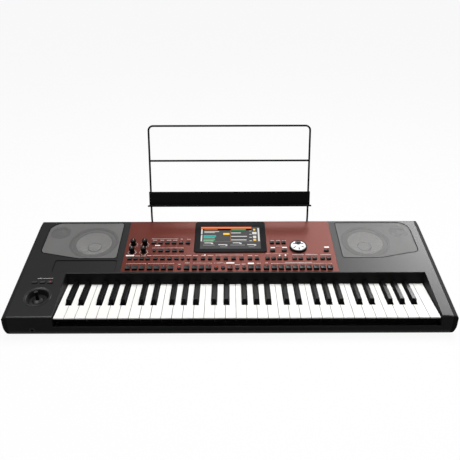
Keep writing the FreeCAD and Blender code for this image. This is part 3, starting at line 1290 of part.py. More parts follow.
def key_frame():
    """The folded steel bed: guide posts, a rear stop rail and brackets for the pivot rod."""
    front, rear = KEY_FRONT_Y + FRAME_FRONT_REACH, KEY_FRONT_Y + FRAME_REAR_REACH
    under = FRAME_DECK - FRAME_SHEET
    points = [(front, FLOOR_TOP), (front + FRAME_SHEET, FLOOR_TOP), (front + FRAME_SHEET, under),
              (rear - FRAME_SHEET, under), (rear - FRAME_SHEET, FLOOR_TOP), (rear, FLOOR_TOP),
              (rear, FRAME_DECK), (front, FRAME_DECK)]
    shapes = [along_x(points, [0] * len(points), KEYS_LEFT - FRAME_SHEET, KEYS_RIGHT)]
    low = FRAME_DECK - FRAME_SHEET / 2
    rail_front = rear - REST_RAIL_DEPTH - FRAME_SHEET
    shapes.append(block(KEYS_LEFT, KEYS_RIGHT, rail_front, rail_front + REST_RAIL_DEPTH, low, REST_RAIL_TOP))
    post_top = KEY_TOP - BLACK_SINK - KEY_PLATE - key_drop(BLACK_POST_REACH) - GUIDE_GAP
    for head, tail, is_black in key_middles():
        width = BLACK_WIDTH if is_black else WHITE_PITCH - KEY_GAP
        half = width / 2 - KEY_WALL - GUIDE_GAP
        y = KEY_FRONT_Y + (BLACK_POST_REACH if is_black else WHITE_POST_REACH)
        shapes.append(block(head - half, head + half, y, y + POST_DEPTH, low, post_top))
    for x in bracket_places():
        half, depth = FRAME_SHEET / 2, BRACKET_DEPTH / 2
        plate = block(x - half, x + half, PIVOT_Y - depth, PIVOT_Y + depth, low, FRAME_DECK + BRACKET_RISE)
        shapes.append(plate)
    return joined(shapes).cut(pivot_line(ROD_RADIUS + RUNNING_GAP, OVERRUN))


def pivot_line(radius, extra):
    start = Vector(KEYS_LEFT - FRAME_SHEET - extra, PIVOT_Y, KEY_PIVOT_HEIGHT)
    return rod(radius, start, Vector(KEYS_RIGHT + extra, PIVOT_Y, KEY_PIVOT_HEIGHT))


def key_pivot_rod():
    return pivot_line(ROD_RADIUS, 0.0)


def key_springs():
    """A leaf spring under each key's bar, rising from the bed to just below the bar."""
    foot_rear = KEY_FRONT_Y + SPRING_FOOT_REACH
    foot_front, tip = foot_rear - SPRING_FOOT, KEY_FRONT_Y + SPRING_TIP_REACH
    top = KEY_BAR_LOW - SEAT_GAP
    low = top - SPRING_SHEET
    points = [(foot_rear, FRAME_DECK), (foot_rear, FRAME_DECK + SPRING_SHEET),
              (foot_front, FRAME_DECK + SPRING_SHEET), (tip + SPRING_TIP, top), (tip, top), (tip, low),
              (tip + SPRING_TIP - SPRING_SHEET, low), (foot_front - SPRING_SHEET, FRAME_DECK)]
    half = SPRING_WIDTH / 2
    return [along_x(points, [0] * len(points), tail - half, tail + half) for head, tail, is_black in key_middles()]


def key_felts():
    """Stop felts: one under the key fronts and one on the rear rail under the bars."""
    front = KEY_FRONT_Y + FRONT_FELT_REACH
    rail_front = KEY_FRONT_Y + FRAME_REAR_REACH - REST_RAIL_DEPTH - FRAME_SHEET
    felt_top = KEY_SKIRT_BOTTOM - key_drop(FRONT_FELT_REACH) - SEAT_GAP
    down_stop = block(KEYS_LEFT, KEYS_RIGHT, front, front + FRONT_FELT_DEPTH, FRAME_DECK, felt_top)
    rest_stop = block(KEYS_LEFT, KEYS_RIGHT, rail_front, rail_front + REST_RAIL_DEPTH, REST_RAIL_TOP,
                      KEY_BAR_LOW - SEAT_GAP)
    slots = [block(x - FRAME_SHEET, x + FRAME_SHEET, rail_front - OVERRUN, rail_front + REST_RAIL_DEPTH + OVERRUN,
                   FRAME_DECK, KEY_TOP) for x in bracket_places()]
    return [down_stop] + rest_stop.cut(slots).Solids


def contact_board():
    """The circuit board of the key contacts, on the bed."""
    y = KEY_FRONT_Y + ACTUATOR_REACH
    half = CONTACT_BOARD_DEPTH / 2
    return block(KEYS_LEFT, KEYS_RIGHT, y - half, y + half, FRAME_DECK, CONTACT_BOARD_TOP)


def contact_strip():
    """The rubber strip on the contact board, with a dome under each key's rib."""
    y = KEY_FRONT_Y + ACTUATOR_REACH
    half = CONTACT_STRIP_DEPTH / 2
    shapes = [block(KEYS_LEFT, KEYS_RIGHT, y - half, y + half, CONTACT_BOARD_TOP, CONTACT_STRIP_TOP)]
    dome_low = CONTACT_STRIP_TOP - CONTACT_STRIP_SHEET / 2
    dome_top = KEY_SKIRT_BOTTOM - key_drop(ACTUATOR_REACH - ACTUATOR_THICKNESS / 2) - SEAT_GAP
    for head, tail, is_black in key_middles():
        foot = Vector(tail, y, dome_low)
        shapes.append(Part.makeCone(DOME_FOOT_RADIUS, DOME_TOP_RADIUS, dome_top - dome_low, foot))
    return joined(shapes)


# Boards, sockets and the power button

def board(width, depth, across_share):
    """A bare board on its standoffs, with its middle."""
    x, y = BODY_WIDTH * across_share, BOARD_REAR - depth / 2
    plate = block(x - width / 2, x + width / 2, y - depth / 2, y + depth / 2, BOARD_LOW, BOARD_LOW + BOARD_SHEET)
    return plate, x, y


def main_board():
    """The main circuit board with processors and a finned heat sink."""
    plate, x, y = board(MAIN_BOARD_WIDTH, MAIN_BOARD_DEPTH, MAIN_BOARD_ACROSS_SHARE)
    low = BOARD_LOW + BOARD_SHEET / 2
    shapes = [plate]
    half = CHIP_SIDE / 2
    for step in (-1, 0, 1):
        spot = x + step * MAIN_BOARD_WIDTH / 4
        shapes.append(block(spot - half, spot + half, y - half, y + half, low, BOARD_LOW + BOARD_SHEET + CHIP_RISE))
    for fin in (-2, -1, 0, 1, 2):
        spot = x + fin * half / 3
        shapes.append(block(spot - BOARD_SHEET / 2, spot + BOARD_SHEET / 2, y - half, y + half,
                            BOARD_LOW + BOARD_SHEET, BOARD_LOW + HEAT_SINK_RISE))
    return joined(shapes)


def power_supply():
    """The supply board with its transformer and two capacitors."""
    plate, x, y = board(SUPPLY_WIDTH, SUPPLY_DEPTH, SUPPLY_ACROSS_SHARE)
    low = BOARD_LOW + BOARD_SHEET / 2
    half = TRANSFORMER_SIDE / 2
    core = x - SUPPLY_WIDTH / 4
    shapes = [plate, block(core - half, core + half, y - half, y + half, low, BOARD_LOW + TRANSFORMER_RISE)]
    for step in (-1, 1):
        foot = Vector(x + SUPPLY_WIDTH / 4, y + step * SUPPLY_DEPTH / 4, low)
        shapes.append(rod(CAPACITOR_RADIUS, foot, foot + Vector(0, 0, CAPACITOR_RISE)))
    return joined(shapes)


def jack_socket():
    """A 6.3 mm jack socket: a collar outside the wall and a bored body behind it."""
    points = [
        (JACK_BORE_RADIUS, JACK_COLLAR),
        (JACK_COLLAR_RADIUS, JACK_COLLAR),
        (JACK_COLLAR_RADIUS, 0),
        (JACK_BODY_RADIUS, 0),
        (JACK_BODY_RADIUS, JACK_COLLAR - JACK_LENGTH),
        (0, JACK_COLLAR - JACK_LENGTH),
        (0, JACK_COLLAR - JACK_BORE_LENGTH),
        (JACK_BORE_RADIUS, JACK_COLLAR - JACK_BORE_LENGTH),
    ]
    return turned(points)


def jack_sockets():
    """Four jacks in the rear wall and the headphone jack under the left front edge."""
    jack = jack_socket()
    jacks = [facing(jack, BODY_WIDTH * share, REAR_Y, CONNECTOR_HEIGHT, True) for share in JACK_SHARES]
    return jacks + [facing(jack, *headphone_place(), False)]


def data_sockets():
    """Two round five-pin sockets and a square data port in the rear wall."""
    din = Part.makeCylinder(DIN_RADIUS, DIN_LENGTH + DIN_RISE, Vector(0, 0, -DIN_LENGTH))
    pins = []
    for step in range(5):
        angle = math.radians(45 * step)
        spot = Vector(math.cos(angle), math.sin(angle), 0) * DIN_PIN_CIRCLE
        pins.append(rod(DIN_PIN_RADIUS, spot + Vector(0, 0, DIN_RISE - DIN_PIN_DEPTH), spot + Vector(0, 0, OVERRUN)))
    din = din.cut(pins)
    sockets = [facing(din, BODY_WIDTH * share, REAR_Y, CONNECTOR_HEIGHT, True) for share in DIN_SHARES]
    shell = sheet([rectangle(PORT_WIDTH + 2 * PORT_WALL, PORT_HEIGHT + 2 * PORT_WALL, 0)], -DIN_LENGTH, DIN_RISE)
    recess = sheet([rectangle(PORT_WIDTH, PORT_HEIGHT, 0)], DIN_RISE - PORT_RECESS, OVERRUN)
    tongue = sheet([rectangle(PORT_WIDTH / 2, PORT_HEIGHT / 2, 0)], -DIN_LENGTH / 2, DIN_RISE)
    port = joined([shell.cut(recess), tongue])
    return sockets + [facing(port, BODY_WIDTH * PORT_SHARE, REAR_Y, CONNECTOR_HEIGHT, True)]


def mains_inlet():
    """The two-pin mains inlet: a rimmed shell with a deep recess."""
    body = sheet([rectangle(INLET_WIDTH, INLET_HEIGHT, 0)], -INLET_LENGTH, 0.0)
    rim = sheet([rectangle(INLET_WIDTH + 2 * INLET_RIM, INLET_HEIGHT + 2 * INLET_RIM, INLET_RIM)], 0.0, DIN_RISE)
    width, height = INLET_WIDTH - 2 * INLET_WALL, INLET_HEIGHT - 2 * INLET_WALL
    recess = sheet([rectangle(width, height, height / 3)], DIN_RISE - INLET_RECESS, OVERRUN)
    shapes = [joined([body, rim]).cut(recess)]
    for side in (-1, 1):
        foot = Vector(side * INLET_PIN_OFFSET, 0, DIN_RISE - INLET_RECESS - INLET_WALL)
        shapes.append(rod(INLET_PIN_RADIUS, foot, foot + Vector(0, 0, INLET_PIN_LENGTH + INLET_WALL)))
    return facing(joined(shapes), BODY_WIDTH * INLET_SHARE, REAR_Y, CONNECTOR_HEIGHT, True)


def power_button():
    """The push button of the power switch, held by a flange behind the rear wall."""
    body = sheet([rectangle(POWER_WIDTH, POWER_HEIGHT, 0)], -POWER_LENGTH, POWER_RISE)
    crown = [edge for edge in body.Edges if edge.BoundBox.ZMin > POWER_RISE - LEAST_LENGTH]
    body = body.makeChamfer(CAP_CHAMFER, crown)
    size = (POWER_WIDTH + 2 * POWER_FLANGE, POWER_HEIGHT + 2 * POWER_FLANGE)
    flange = sheet([rectangle(*size, 0)], -WALL - SEAT_GAP - POWER_FLANGE, -WALL - SEAT_GAP)
    return facing(joined([body, flange]), BODY_WIDTH * POWER_SHARE, REAR_Y, CONNECTOR_HEIGHT, True)


def all_nodes():
    """Every piece by name. A list is a group of like solids in one node."""
    nodes = {
        "lower_case": lower_case(),
        "upper_case": upper_case(),
        "control_panel": control_panel(),
        "rubber_feet": rubber_feet(),
        "case_screws": case_screws(),
        "speaker_grilles": speaker_grilles(),
        "woofer_frames": woofer_frames(),
        "woofer_cones": woofer_cones(),
        "tweeters": tweeters(),
        "display_bezel": display_bezel(),
        "display_screen": display_screen(),
        "dial_ring": dial_ring(),
        "data_dial": data_dial(),
        "rotary_controls": rotary_controls(),
        "cheek_switches": cheek_switches(),
        "panel_board": panel_board(),
        "joystick_cup": joystick_cup(),
        "joystick_yoke": joystick_yoke(),
        "joystick_lever": joystick_lever(),
        "rest_frame": rest_frame(),
        "rest_crossbar": rest_crossbar(),
        "rest_plate": rest_plate(),
        "rest_sockets": rest_sockets(),
        "key_frame": key_frame(),
        "key_pivot_rod": key_pivot_rod(),
        "key_springs": key_springs(),
        "key_felts": key_felts(),
        "key_contact_board": contact_board(),
        "key_contact_strip": contact_strip(),
        "main_board": main_board(),
        "power_supply": power_supply(),
        "jack_sockets": jack_sockets(),
        "data_sockets": data_sockets(),
        "mains_inlet": mains_inlet(),
        "power_button": power_button(),
    }
    for name in KNOB_PLACES_SHARES:
        nodes[name] = knob(name)
    for name, places in button_banks().items():
        nodes[name] = button_caps(places)
    for name in list(WHITE_NAMES) + list(BLACK_NAMES.values()):
        nodes["keys_" + name] = key_set(name)
    return nodes


def main():
    os.makedirs("parts", exist_ok=True)
    for name, shape in all_nodes().items():
        whole = Part.makeCompound(shape) if isinstance(shape, list) else shape
        whole.exportStep("parts/" + name + ".step")
        sound = all(solid.isValid() for solid in whole.Solids)
        print(name, len(whole.Solids), "solids", round(whole.Volume), "mm3", "sound" if sound else "BROKEN")


main()
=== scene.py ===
"""Arranger keyboard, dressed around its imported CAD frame. Lengths are in metres where no comment says mm."""
import json
import math

import bmesh
import bpy
from bpy.props import FloatProperty, FloatVectorProperty, IntProperty, PointerProperty
from mathutils import Matrix, Vector

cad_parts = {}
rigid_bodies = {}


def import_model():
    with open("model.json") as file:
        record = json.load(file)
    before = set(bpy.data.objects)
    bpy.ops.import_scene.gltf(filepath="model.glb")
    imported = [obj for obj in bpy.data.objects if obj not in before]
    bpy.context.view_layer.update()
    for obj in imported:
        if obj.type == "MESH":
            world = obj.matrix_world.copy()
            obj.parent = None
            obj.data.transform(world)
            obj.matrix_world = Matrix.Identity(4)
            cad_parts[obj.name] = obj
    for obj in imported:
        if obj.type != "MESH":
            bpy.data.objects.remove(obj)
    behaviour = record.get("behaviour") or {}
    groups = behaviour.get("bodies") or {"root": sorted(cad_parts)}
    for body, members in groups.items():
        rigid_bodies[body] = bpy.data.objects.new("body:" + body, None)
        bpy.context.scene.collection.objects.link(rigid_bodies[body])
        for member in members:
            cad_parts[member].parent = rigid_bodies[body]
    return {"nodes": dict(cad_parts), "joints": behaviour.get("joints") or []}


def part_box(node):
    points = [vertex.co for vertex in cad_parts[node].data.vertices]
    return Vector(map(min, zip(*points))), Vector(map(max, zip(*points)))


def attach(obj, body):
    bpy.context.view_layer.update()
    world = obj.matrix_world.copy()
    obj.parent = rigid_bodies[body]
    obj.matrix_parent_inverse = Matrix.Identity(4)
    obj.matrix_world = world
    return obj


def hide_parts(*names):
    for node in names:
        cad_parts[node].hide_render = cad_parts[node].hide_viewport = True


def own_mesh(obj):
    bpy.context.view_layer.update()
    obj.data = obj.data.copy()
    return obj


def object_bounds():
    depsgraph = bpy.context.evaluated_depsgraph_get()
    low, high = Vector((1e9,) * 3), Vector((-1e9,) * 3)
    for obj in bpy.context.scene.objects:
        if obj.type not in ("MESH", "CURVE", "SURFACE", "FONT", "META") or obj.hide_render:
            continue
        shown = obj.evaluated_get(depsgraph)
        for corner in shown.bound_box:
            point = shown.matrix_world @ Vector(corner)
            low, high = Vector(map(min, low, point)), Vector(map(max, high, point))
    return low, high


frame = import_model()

bl_info = {
    "name": "Arranger Keyboard",
    "version": (1, 0, 0),
    "blender": (4, 5, 0),
    "location": "View3D > Sidebar > Keyboard",
    "description": "Dresses the packed frame of an arranger keyboard with its pieces and finishes",
    "category": "Object",
}

MM = 0.001
NODES = frame["nodes"]
JOINTS = {joint["name"]: joint for joint in frame["joints"]}
CAD_LOW, CAD_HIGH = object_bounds()

# The sloped top: sideways, back from its front edge, and up from its surface
UP = Vector(JOINTS["data_dial_turn"]["axis"]).normalized()
BACK = Vector((0, UP.z, -UP.y))
DIAL = Vector(JOINTS["data_dial_turn"]["pos_m"])
FRONT = Vector((0, DIAL.y, DIAL.z)) - BACK * ((DIAL.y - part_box("upper_case")[0].y) / BACK.y)
TOP = Matrix.LocRotScale(FRONT, Matrix((Vector((1, 0, 0)), BACK, UP)).transposed(), None)
TOP_INVERSE = TOP.inverted()

# Places closer than SAME count as one, and corners closer than MERGE are merged
SAME = 1e-6
MERGE = 1e-5
# Least rise of the normal of a level face and of a face that belongs to a top, and the most for a wall
LEVEL = 0.99
TOP_FACE = 0.9
WALL = 0.5
# In degrees: edges that turn further are sharp, and faces that turn less are one
SHARP = 35
FLAT = 0.5
# Thickness of thin lines and films, and the rounding of thin edges
FILM = 0.0002
THIN_EDGE = 0.0004
# Sides of large round pieces, of the holes cut over speakers, and of small round pieces
LARGE_SIDES, HOLE_SIDES, SMALL_SIDES = 72, 64, 32

WHITE_KEYS = ["keys_" + name for name in ("c", "d", "e", "f", "g", "a", "b")]
BLACK_KEYS = ["keys_" + name + "_sharp" for name in ("c", "d", "f", "g", "a")]
KNOBS = ["upper_left_knob", "upper_right_knob", "lower_left_knob", "lower_right_knob"]
BANKS = ["upper_left_buttons", "middle_left_buttons", "middle_centre_buttons", "middle_right_buttons",
         "front_left_buttons", "front_centre_buttons", "start_button", "front_right_buttons",
         "display_side_buttons", "cheek_switches"]

# Buttons whose lamp is lit, counted in each bank from left to right and then from front to rear
LIT_LAMPS = {
    "upper_left_buttons": (4, 5, 6, 9),
    "middle_left_buttons": (9,),
    "middle_right_buttons": (3,),
    "front_left_buttons": (5, 7),
    "front_centre_buttons": (3, 4),
    "start_button": (0,),
    "front_right_buttons": (2, 11),
    "display_side_buttons": (2,),
    "cheek_switches": (2,),
}
# As shares: a lamp's place on its cap, its depth and its corner, and the corners of marks and screen blocks
LAMP_PLACE_SHARE, LAMP_DEPTH_SHARE, LAMP_CORNER_SHARE = 0.24, 0.5, 0.3
MARK_CORNER_SHARE, SCREEN_CORNER_SHARE = 0.3, 0.15

# Printed marks in mm: left end, right end and place back from the panel's front edge, and a plate's depth
BRACKETS = [
    (-201.5, -134, 128.5), (-196, -117.5, 91), (-192.5, -114, 61.5), (-35, 33, 62), (90, 146.5, 66.5),
    (-254.5, -206, 30), (-200.5, -137, 30.5), (-90, -44, 31.5), (-38, -12, 31.5), (102, 251.5, 29),
    (117.5, 133.5, 97),
]
CAPTIONS = [
    (-198, -188, 122.5), (-179.5, -169.5, 122.5), (-163, -151, 122.5), (-146, -135.5, 122.5),
    (-126.5, -121, 127), (-110.5, -101.5, 126),
    (-236.5, -224, 59.5), (-222, -210.5, 59.5), (-207, -196, 61), (-109, -95.5, 61), (-91.5, -79.5, 61),
    (-71, -64, 61), (-56, -41, 61), (45, 56.5, 60), (63, 71, 59.5), (157.5, 185.5, 63.5),
    (189.5, 221, 63.5), (227, 254, 63), (105.5, 114.5, 119.5), (120, 130.5, 120), (135, 145.5, 120),
    (-126.5, -120.5, 27), (-110.5, -99, 32), (12.5, 25, 25.5), (29, 39.5, 27), (66.5, 76.5, 30),
    (87.5, 94, 31), (136.5, 202, 32.5),
]
PLATES = [
    (-260, -239, 61, 5), (-9, 11.5, 31.5, 4.5), (44.5, 60, 29.5, 5), (104.5, 115.5, 91, 4),
    (133.5, 146, 91.5, 4), (240.5, 253, 92, 6), (123, 126.5, 60, 4.5), (138, 141.5, 61, 6.5),
    (-191, -178, 101, 3.5), (-63.5, -60.5, 62, 5.5),
]
CHEEK_CAPTION = [(-459, -422, -23, 1)]
# Width of a bracket's line, length of its ends and depth of a caption, in mm
BRACKET_LINE, BRACKET_END, CAPTION_DEPTH = 0.7, 2.0, 1.2

# Sunk pad on the top in mm: left, right, front, rear, depth and corner
PAD = (-432, -278.5, 151, 195.5, 1.4, 6)

# Width and rise of each ring of a woofer, from its edge inwards, in mm, and the rings of its darker bands: the
# surround, and the groove round the dust cap, which is dark as painted shade
WOOFER_RINGS = ((2.5, 1.2), (2.5, 0.4), (2.5, -0.4), (2.5, -1.2), (1.2, 0.8), (1.4, -0.8), (3.0, -2.5),
                (21.0, -10.5), (1.4, -2.0), (1.0, 3.0), (4.5, 2.2), (5.0, 0.8))
WOOFER_BANDS = {"surrounds": (0, 4), "grooves": (8, 10)}

# Screen layout from its lowest layer up, as shares of the screen: left, right, top and bottom
SCREEN_BLOCKS = {
    "screen_black": [(0.03, 0.86, 0.09, 0.165)],
    "screen_grey": [
        (0.05, 0.24, 0.82, 0.845), (0.33, 0.45, 0.9, 0.92), (0.5, 0.74, 0.82, 0.845), (0.8, 0.9, 0.9, 0.92),
    ],
    "screen_brown": [(0.055, 0.283, 0.105, 0.155), (0.5, 0.508, 0.17, 0.66), (0.0, 1.0, 0.672, 0.682)],
    "screen_orange": [(0.0, 0.86, 0.0, 0.075)],
    "screen_green": [(0.514, 0.766, 0.1, 0.16), (0.05, 0.246, 0.56, 0.625)],
    "screen_teal": [(0.05, 0.26, 0.39, 0.465)],
    "screen_yellow": [(0.38, 0.486, 0.29, 0.37), (0.89, 0.925, 0.1, 0.17), (0.885, 0.93, 0.57, 0.64)],
    "screen_pale": [
        (0.006, 0.028, 0.1, 0.34), (0.006, 0.028, 0.38, 0.66), (0.06, 0.31, 0.21, 0.235),
        (0.06, 0.24, 0.26, 0.28), (0.514, 0.68, 0.27, 0.3), (0.514, 0.78, 0.43, 0.46),
        (0.514, 0.77, 0.59, 0.62), (0.05, 0.24, 0.5, 0.515), (0.05, 0.22, 0.64, 0.655),
        (0.82, 0.86, 0.19, 0.205), (0.82, 0.86, 0.34, 0.36), (0.82, 0.86, 0.48, 0.5),
        (0.82, 0.86, 0.63, 0.65), (0.87, 0.945, 0.24, 0.35), (0.88, 0.935, 0.42, 0.53),
        (0.963, 0.99, 0.06, 0.66), (0.07, 0.2, 0.72, 0.75), (0.18, 0.215, 0.735, 0.785),
        (0.3, 0.43, 0.8, 0.83), (0.42, 0.45, 0.81, 0.86), (0.54, 0.66, 0.72, 0.75),
        (0.65, 0.685, 0.735, 0.785), (0.78, 0.9, 0.8, 0.83), (0.89, 0.925, 0.81, 0.86),
    ],
}
SCREEN_COLOURS = {
    "screen_black": (0.004, 0.004, 0.005), "screen_grey": (0.25, 0.25, 0.25),
    "screen_brown": (0.3, 0.12, 0.03), "screen_orange": (0.9, 0.2, 0.06),
    "screen_green": (0.02, 0.36, 0.1), "screen_teal": (0.03, 0.38, 0.33),
    "screen_yellow": (0.9, 0.55, 0.06), "screen_pale": (0.6, 0.6, 0.58),
}

# Turns in degrees of the marks on the dial and of the ticks round a knob
DIAL_MARK_ANGLES = (58, 128, 184, 240, 302)
TICK_ANGLES = range(-150, 151, 30)

# Lamps: place, width, the setting of their power, and whether they light more than the sheen
LAMPS = {
    "rear_right_lamp": ((1.62, 1.6, 1.5), 1.2, "rear_lamp", False),
    "front_left_lamp": ((-1.07, -0.44, 1.72), 0.7, "edge_lamp", False),
    "rear_middle_lamp": ((0.25, 1.3, 1.7), 1.2, "middle_lamp", False),
    "top_lamp": ((0.2, 0.0, 2.2), 1.6, "top_lamp", True),
}
LAMP_TARGET = Vector((0, 0, 0.08))


# Settings

def length_setting(name, description, default):
    return FloatProperty(name=name, description=description, default=default, unit="LENGTH")


def power_setting(name, description, default):
    return FloatProperty(name=name, description=description, default=default, unit="POWER")


def colour_setting(name, description, default):
    return FloatVectorProperty(name=name, description=description, default=default, subtype="COLOR",
                               min=0, max=1)


class CaseSettings(bpy.types.PropertyGroup):
    """The moulded case."""
    colour: colour_setting("Case colour", "Colour of the moulded case", (0.009, 0.009, 0.0092))
    grain: length_setting("Grain size", "Size of the moulded grain", 0.0007)
    edge: length_setting("Edge rounding", "Rounding of the case's edges", 0.0008)
    # The end bands are rougher, and darker as painted shade on the rounded shoulders
    band: length_setting("End band", "Width of the dull bands along the ends", 0.0145)
    # The line round the pad is a painted shadow
    line: length_setting("Line", "Width of the line round the pad", 0.0014)
    corner: length_setting("Front corner", "Inward draw of the bottom front corners", 0.024)


class PanelSettings(bpy.types.PropertyGroup):
    """The control panel and its printed marks."""
    colour: colour_setting("Panel colour", "Colour of the panel's lacquer", (0.104, 0.026, 0.019))
    print_colour: colour_setting("Print colour", "Colour of the printed lines", (0.62, 0.6, 0.58))
    plate_colour: colour_setting("Plate colour", "Colour of the printed plates", (0.84, 0.83, 0.82))
    print_height: length_setting("Print height", "Thickness of the printed marks", 0.00012)


class ButtonSettings(bpy.types.PropertyGroup):
    """Buttons, switches and their lamps."""
    colour: colour_setting("Cap colour", "Colour of the button caps", (0.026, 0.028, 0.0285))
    start: colour_setting("Start colour", "Colour of the start button", (0.06, 0.018, 0.016))
    corner: length_setting("Cap corner", "Corner radius of the caps", 0.0009)
    edge: length_setting("Cap edge", "Rounding of a cap's top edge", 0.0006)
    dish: length_setting("Cap dish", "Depth of the hollow in a cap's top", 0.0003)
    lamp: length_setting("Lamp width", "Width of a button's lamp window", 0.003)


class DisplaySettings(bpy.types.PropertyGroup):
    """The display."""
    edge: length_setting("Bezel edge", "Rounding of the bezel's edges", 0.0006)
    border: length_setting("Border", "Width of the border round the picture", 0.003)


class KeySettings(bpy.types.PropertyGroup):
    """White and black keys."""
    white: colour_setting("White", "Colour of the white keys", (0.84, 0.835, 0.81))
    black: colour_setting("Black", "Colour of the black keys", (0.004, 0.004, 0.0042))
    edge: length_setting("Key edge", "Rounding of the keys' edges", 0.0006)
    spring: FloatProperty(name="Spring", description="Share of a spring's height left under a pressed key",
                          default=0.84)
    # Below this lip a white key's front is darkened as painted shade
    lip: length_setting("Lip", "Height of the pale lip at a white key's front", 0.003)


class GrilleSettings(bpy.types.PropertyGroup):
    """Speaker grilles."""
    colour: colour_setting("Grille colour", "Colour of the perforated sheet", (0.19, 0.187, 0.185))
    pitch: length_setting("Hole pitch", "Distance between neighbouring holes", 0.0032)
    web: length_setting("Web", "Half the sheet left between two holes", 0.00048)
    sheet: length_setting("Sheet", "Thickness of the sheet", 0.0007)
    tweeter: length_setting("Tweeter opening", "Least radius of the opening over a tweeter", 0.026)
    # The sunk ring round the sheet is dark as a painted shadow line
    shadow_line: length_setting("Seat", "Width of the dark line round the sheet", 0.0024)
    rim: length_setting("Rim", "Width of the plain rim", 0.0012)
    rim_edge: length_setting("Rim edge", "Rounding of the rim's edges", 0.0003)
    cloth: length_setting("Cloth", "Thickness of the cloth under the sheet", 0.0003)
    paper: length_setting("Paper", "Thickness of the woofers' paper", 0.0006)


class ControlSettings(bpy.types.PropertyGroup):
    """Dial, knobs and joystick."""
    dial: colour_setting("Dial colour", "Colour of the data dial", (0.84, 0.84, 0.83))
    mark_width: length_setting("Mark width", "Width of a mark on the dial", 0.003)
    mark_length: length_setting("Mark length", "Length of a mark on the dial", 0.0075)
    mark_reach: length_setting("Mark reach", "Distance of a mark from the dial's axis", 0.0125)
    hole: length_setting("Finger hole", "Radius of the dial's finger hole", 0.008)
    hole_reach: length_setting("Finger hole reach", "Distance of the hole from the dial's axis", 0.0105)
    flutes: IntProperty(name="Flutes", description="Grip flutes round a knob", default=24, min=8)
    flute_depth: length_setting("Flute depth", "Depth of the grip flutes", 0.0004)
    pointer: length_setting("Pointer width", "Width of a knob's pointer", 0.0009)
    tick_width: length_setting("Tick width", "Width of a tick", 0.0013)
    tick_length: length_setting("Tick length", "Length of a tick", 0.0026)
    tick_gap: length_setting("Tick gap", "Distance of a tick's middle from the knob", 0.0036)
    rim: length_setting("Cup rim", "Width of the rim round the joystick's cup", 0.0028)


class StageSettings(bpy.types.PropertyGroup):
    """Floor, light and camera."""
    floor: colour_setting("Floor colour", "Colour of the floor", (0.35, 0.35, 0.35))
    sky: FloatProperty(name="Sky", description="Strength of the soft light from all round", default=0.06)
    rear_lamp: power_setting("Rear right lamp", "Power of the large lamp behind the treble end", 330.0)
    top_lamp: power_setting("Top lamp", "Power of the lamp over the keys", 67.0)
    middle_lamp: power_setting("Rear middle lamp", "Power of the lamp behind the display", 58.0)
    edge_lamp: power_setting("Front left lamp", "Power of the lamp that lights the front edges", 200.0)
    lens: FloatProperty(name="Lens", description="Focal length of the camera", default=45.01,
                        subtype="DISTANCE_CAMERA")
    camera: FloatVectorProperty(name="Camera place", description="Place of the camera",
                                default=(0.00096, -1.25, 0.8125), subtype="TRANSLATION")
    tilt: FloatProperty(name="Camera tilt", description="Angle by which the camera looks down",
                        default=math.radians(27.093), subtype="ANGLE")
    roll: FloatProperty(name="Camera roll", description="Turn of the camera about its view",
                        default=math.radians(-0.185), subtype="ANGLE")


# Modelling helpers

def settings(name):
    return getattr(bpy.context.scene, "keyboard_" + name)


def clear_selection():
    if bpy.context.mode != "OBJECT":
        bpy.ops.object.mode_set(mode="OBJECT")
    bpy.ops.object.select_all(action="DESELECT")


def take(piece):
    """Makes a piece the only selected object."""
    clear_selection()
    piece.select_set(True)
    bpy.context.view_layer.objects.active = piece


def edit(piece):
    """Opens a piece for editing with nothing selected in it."""
    take(piece)
    bpy.ops.object.mode_set(mode="EDIT")
    bpy.ops.mesh.select_all(action="DESELECT")


def close():
    bpy.ops.object.mode_set(mode="OBJECT")


def pick(piece, kind, test):
    """Selects the corners, edges or faces of an open piece that pass a test."""
    bpy.ops.mesh.select_mode(type=kind)
    bpy.ops.mesh.select_all(action="DESELECT")
    mesh = bmesh.from_edit_mesh(piece.data)
    for part in {"VERT": mesh.verts, "EDGE": mesh.edges, "FACE": mesh.faces}[kind]:
        if test(part):
            part.select_set(True)
    bmesh.update_edit_mesh(piece.data)


def cut_away(piece, test):
    """Deletes the faces of an open piece that pass a test."""
    pick(piece, "FACE", test)
    bpy.ops.mesh.delete(type="FACE")


def inset(*steps):
    """Insets the selected faces step by step, each by a width and a rise."""
    for width, rise in steps:
        bpy.ops.mesh.inset(thickness=width, depth=rise)


def is_level(edge, height):
    return all(abs(corner.co.z - height) < SAME for corner in edge.verts)


def is_upright(edge):
    first, second = (corner.co for corner in edge.verts)
    return (first.xy - second.xy).length < SAME


def faces_up(face, rise=LEVEL):
    return face.normal.z > rise


def apply_place():
    """Puts a new primitive's place and size into its mesh and opens it for editing."""
    bpy.ops.object.transform_apply(location=True, rotation=True, scale=True)
    piece = bpy.context.active_object
    edit(piece)
    return piece


def block(size, place, corner, segments=2):
    """A cube primitive at its size and place with rounded upright edges, open for editing."""
    clear_selection()
    bpy.ops.mesh.primitive_cube_add(size=1, location=place, scale=size)
    piece = apply_place()
    pick(piece, "EDGE", is_upright)
    bpy.ops.mesh.bevel(offset=corner, segments=segments, affect="EDGES")
    return piece


def disc(radius, low, high, sides):
    """A cylinder primitive about the local up axis, open for editing."""
    clear_selection()
    bpy.ops.mesh.primitive_cylinder_add(vertices=sides, radius=radius, depth=high - low,
                                        location=(0, 0, (low + high) / 2))
    return apply_place()


def round_top(piece, height, radius, segments):
    """Rounds the level edges of an open piece at a height."""
    pick(piece, "EDGE", lambda edge: is_level(edge, height))
    bpy.ops.mesh.bevel(offset=radius, segments=segments, affect="EDGES")


def join(pieces):
    take(pieces[0])
    for piece in pieces[1:]:
        piece.select_set(True)
    bpy.ops.object.join()
    return pieces[0]


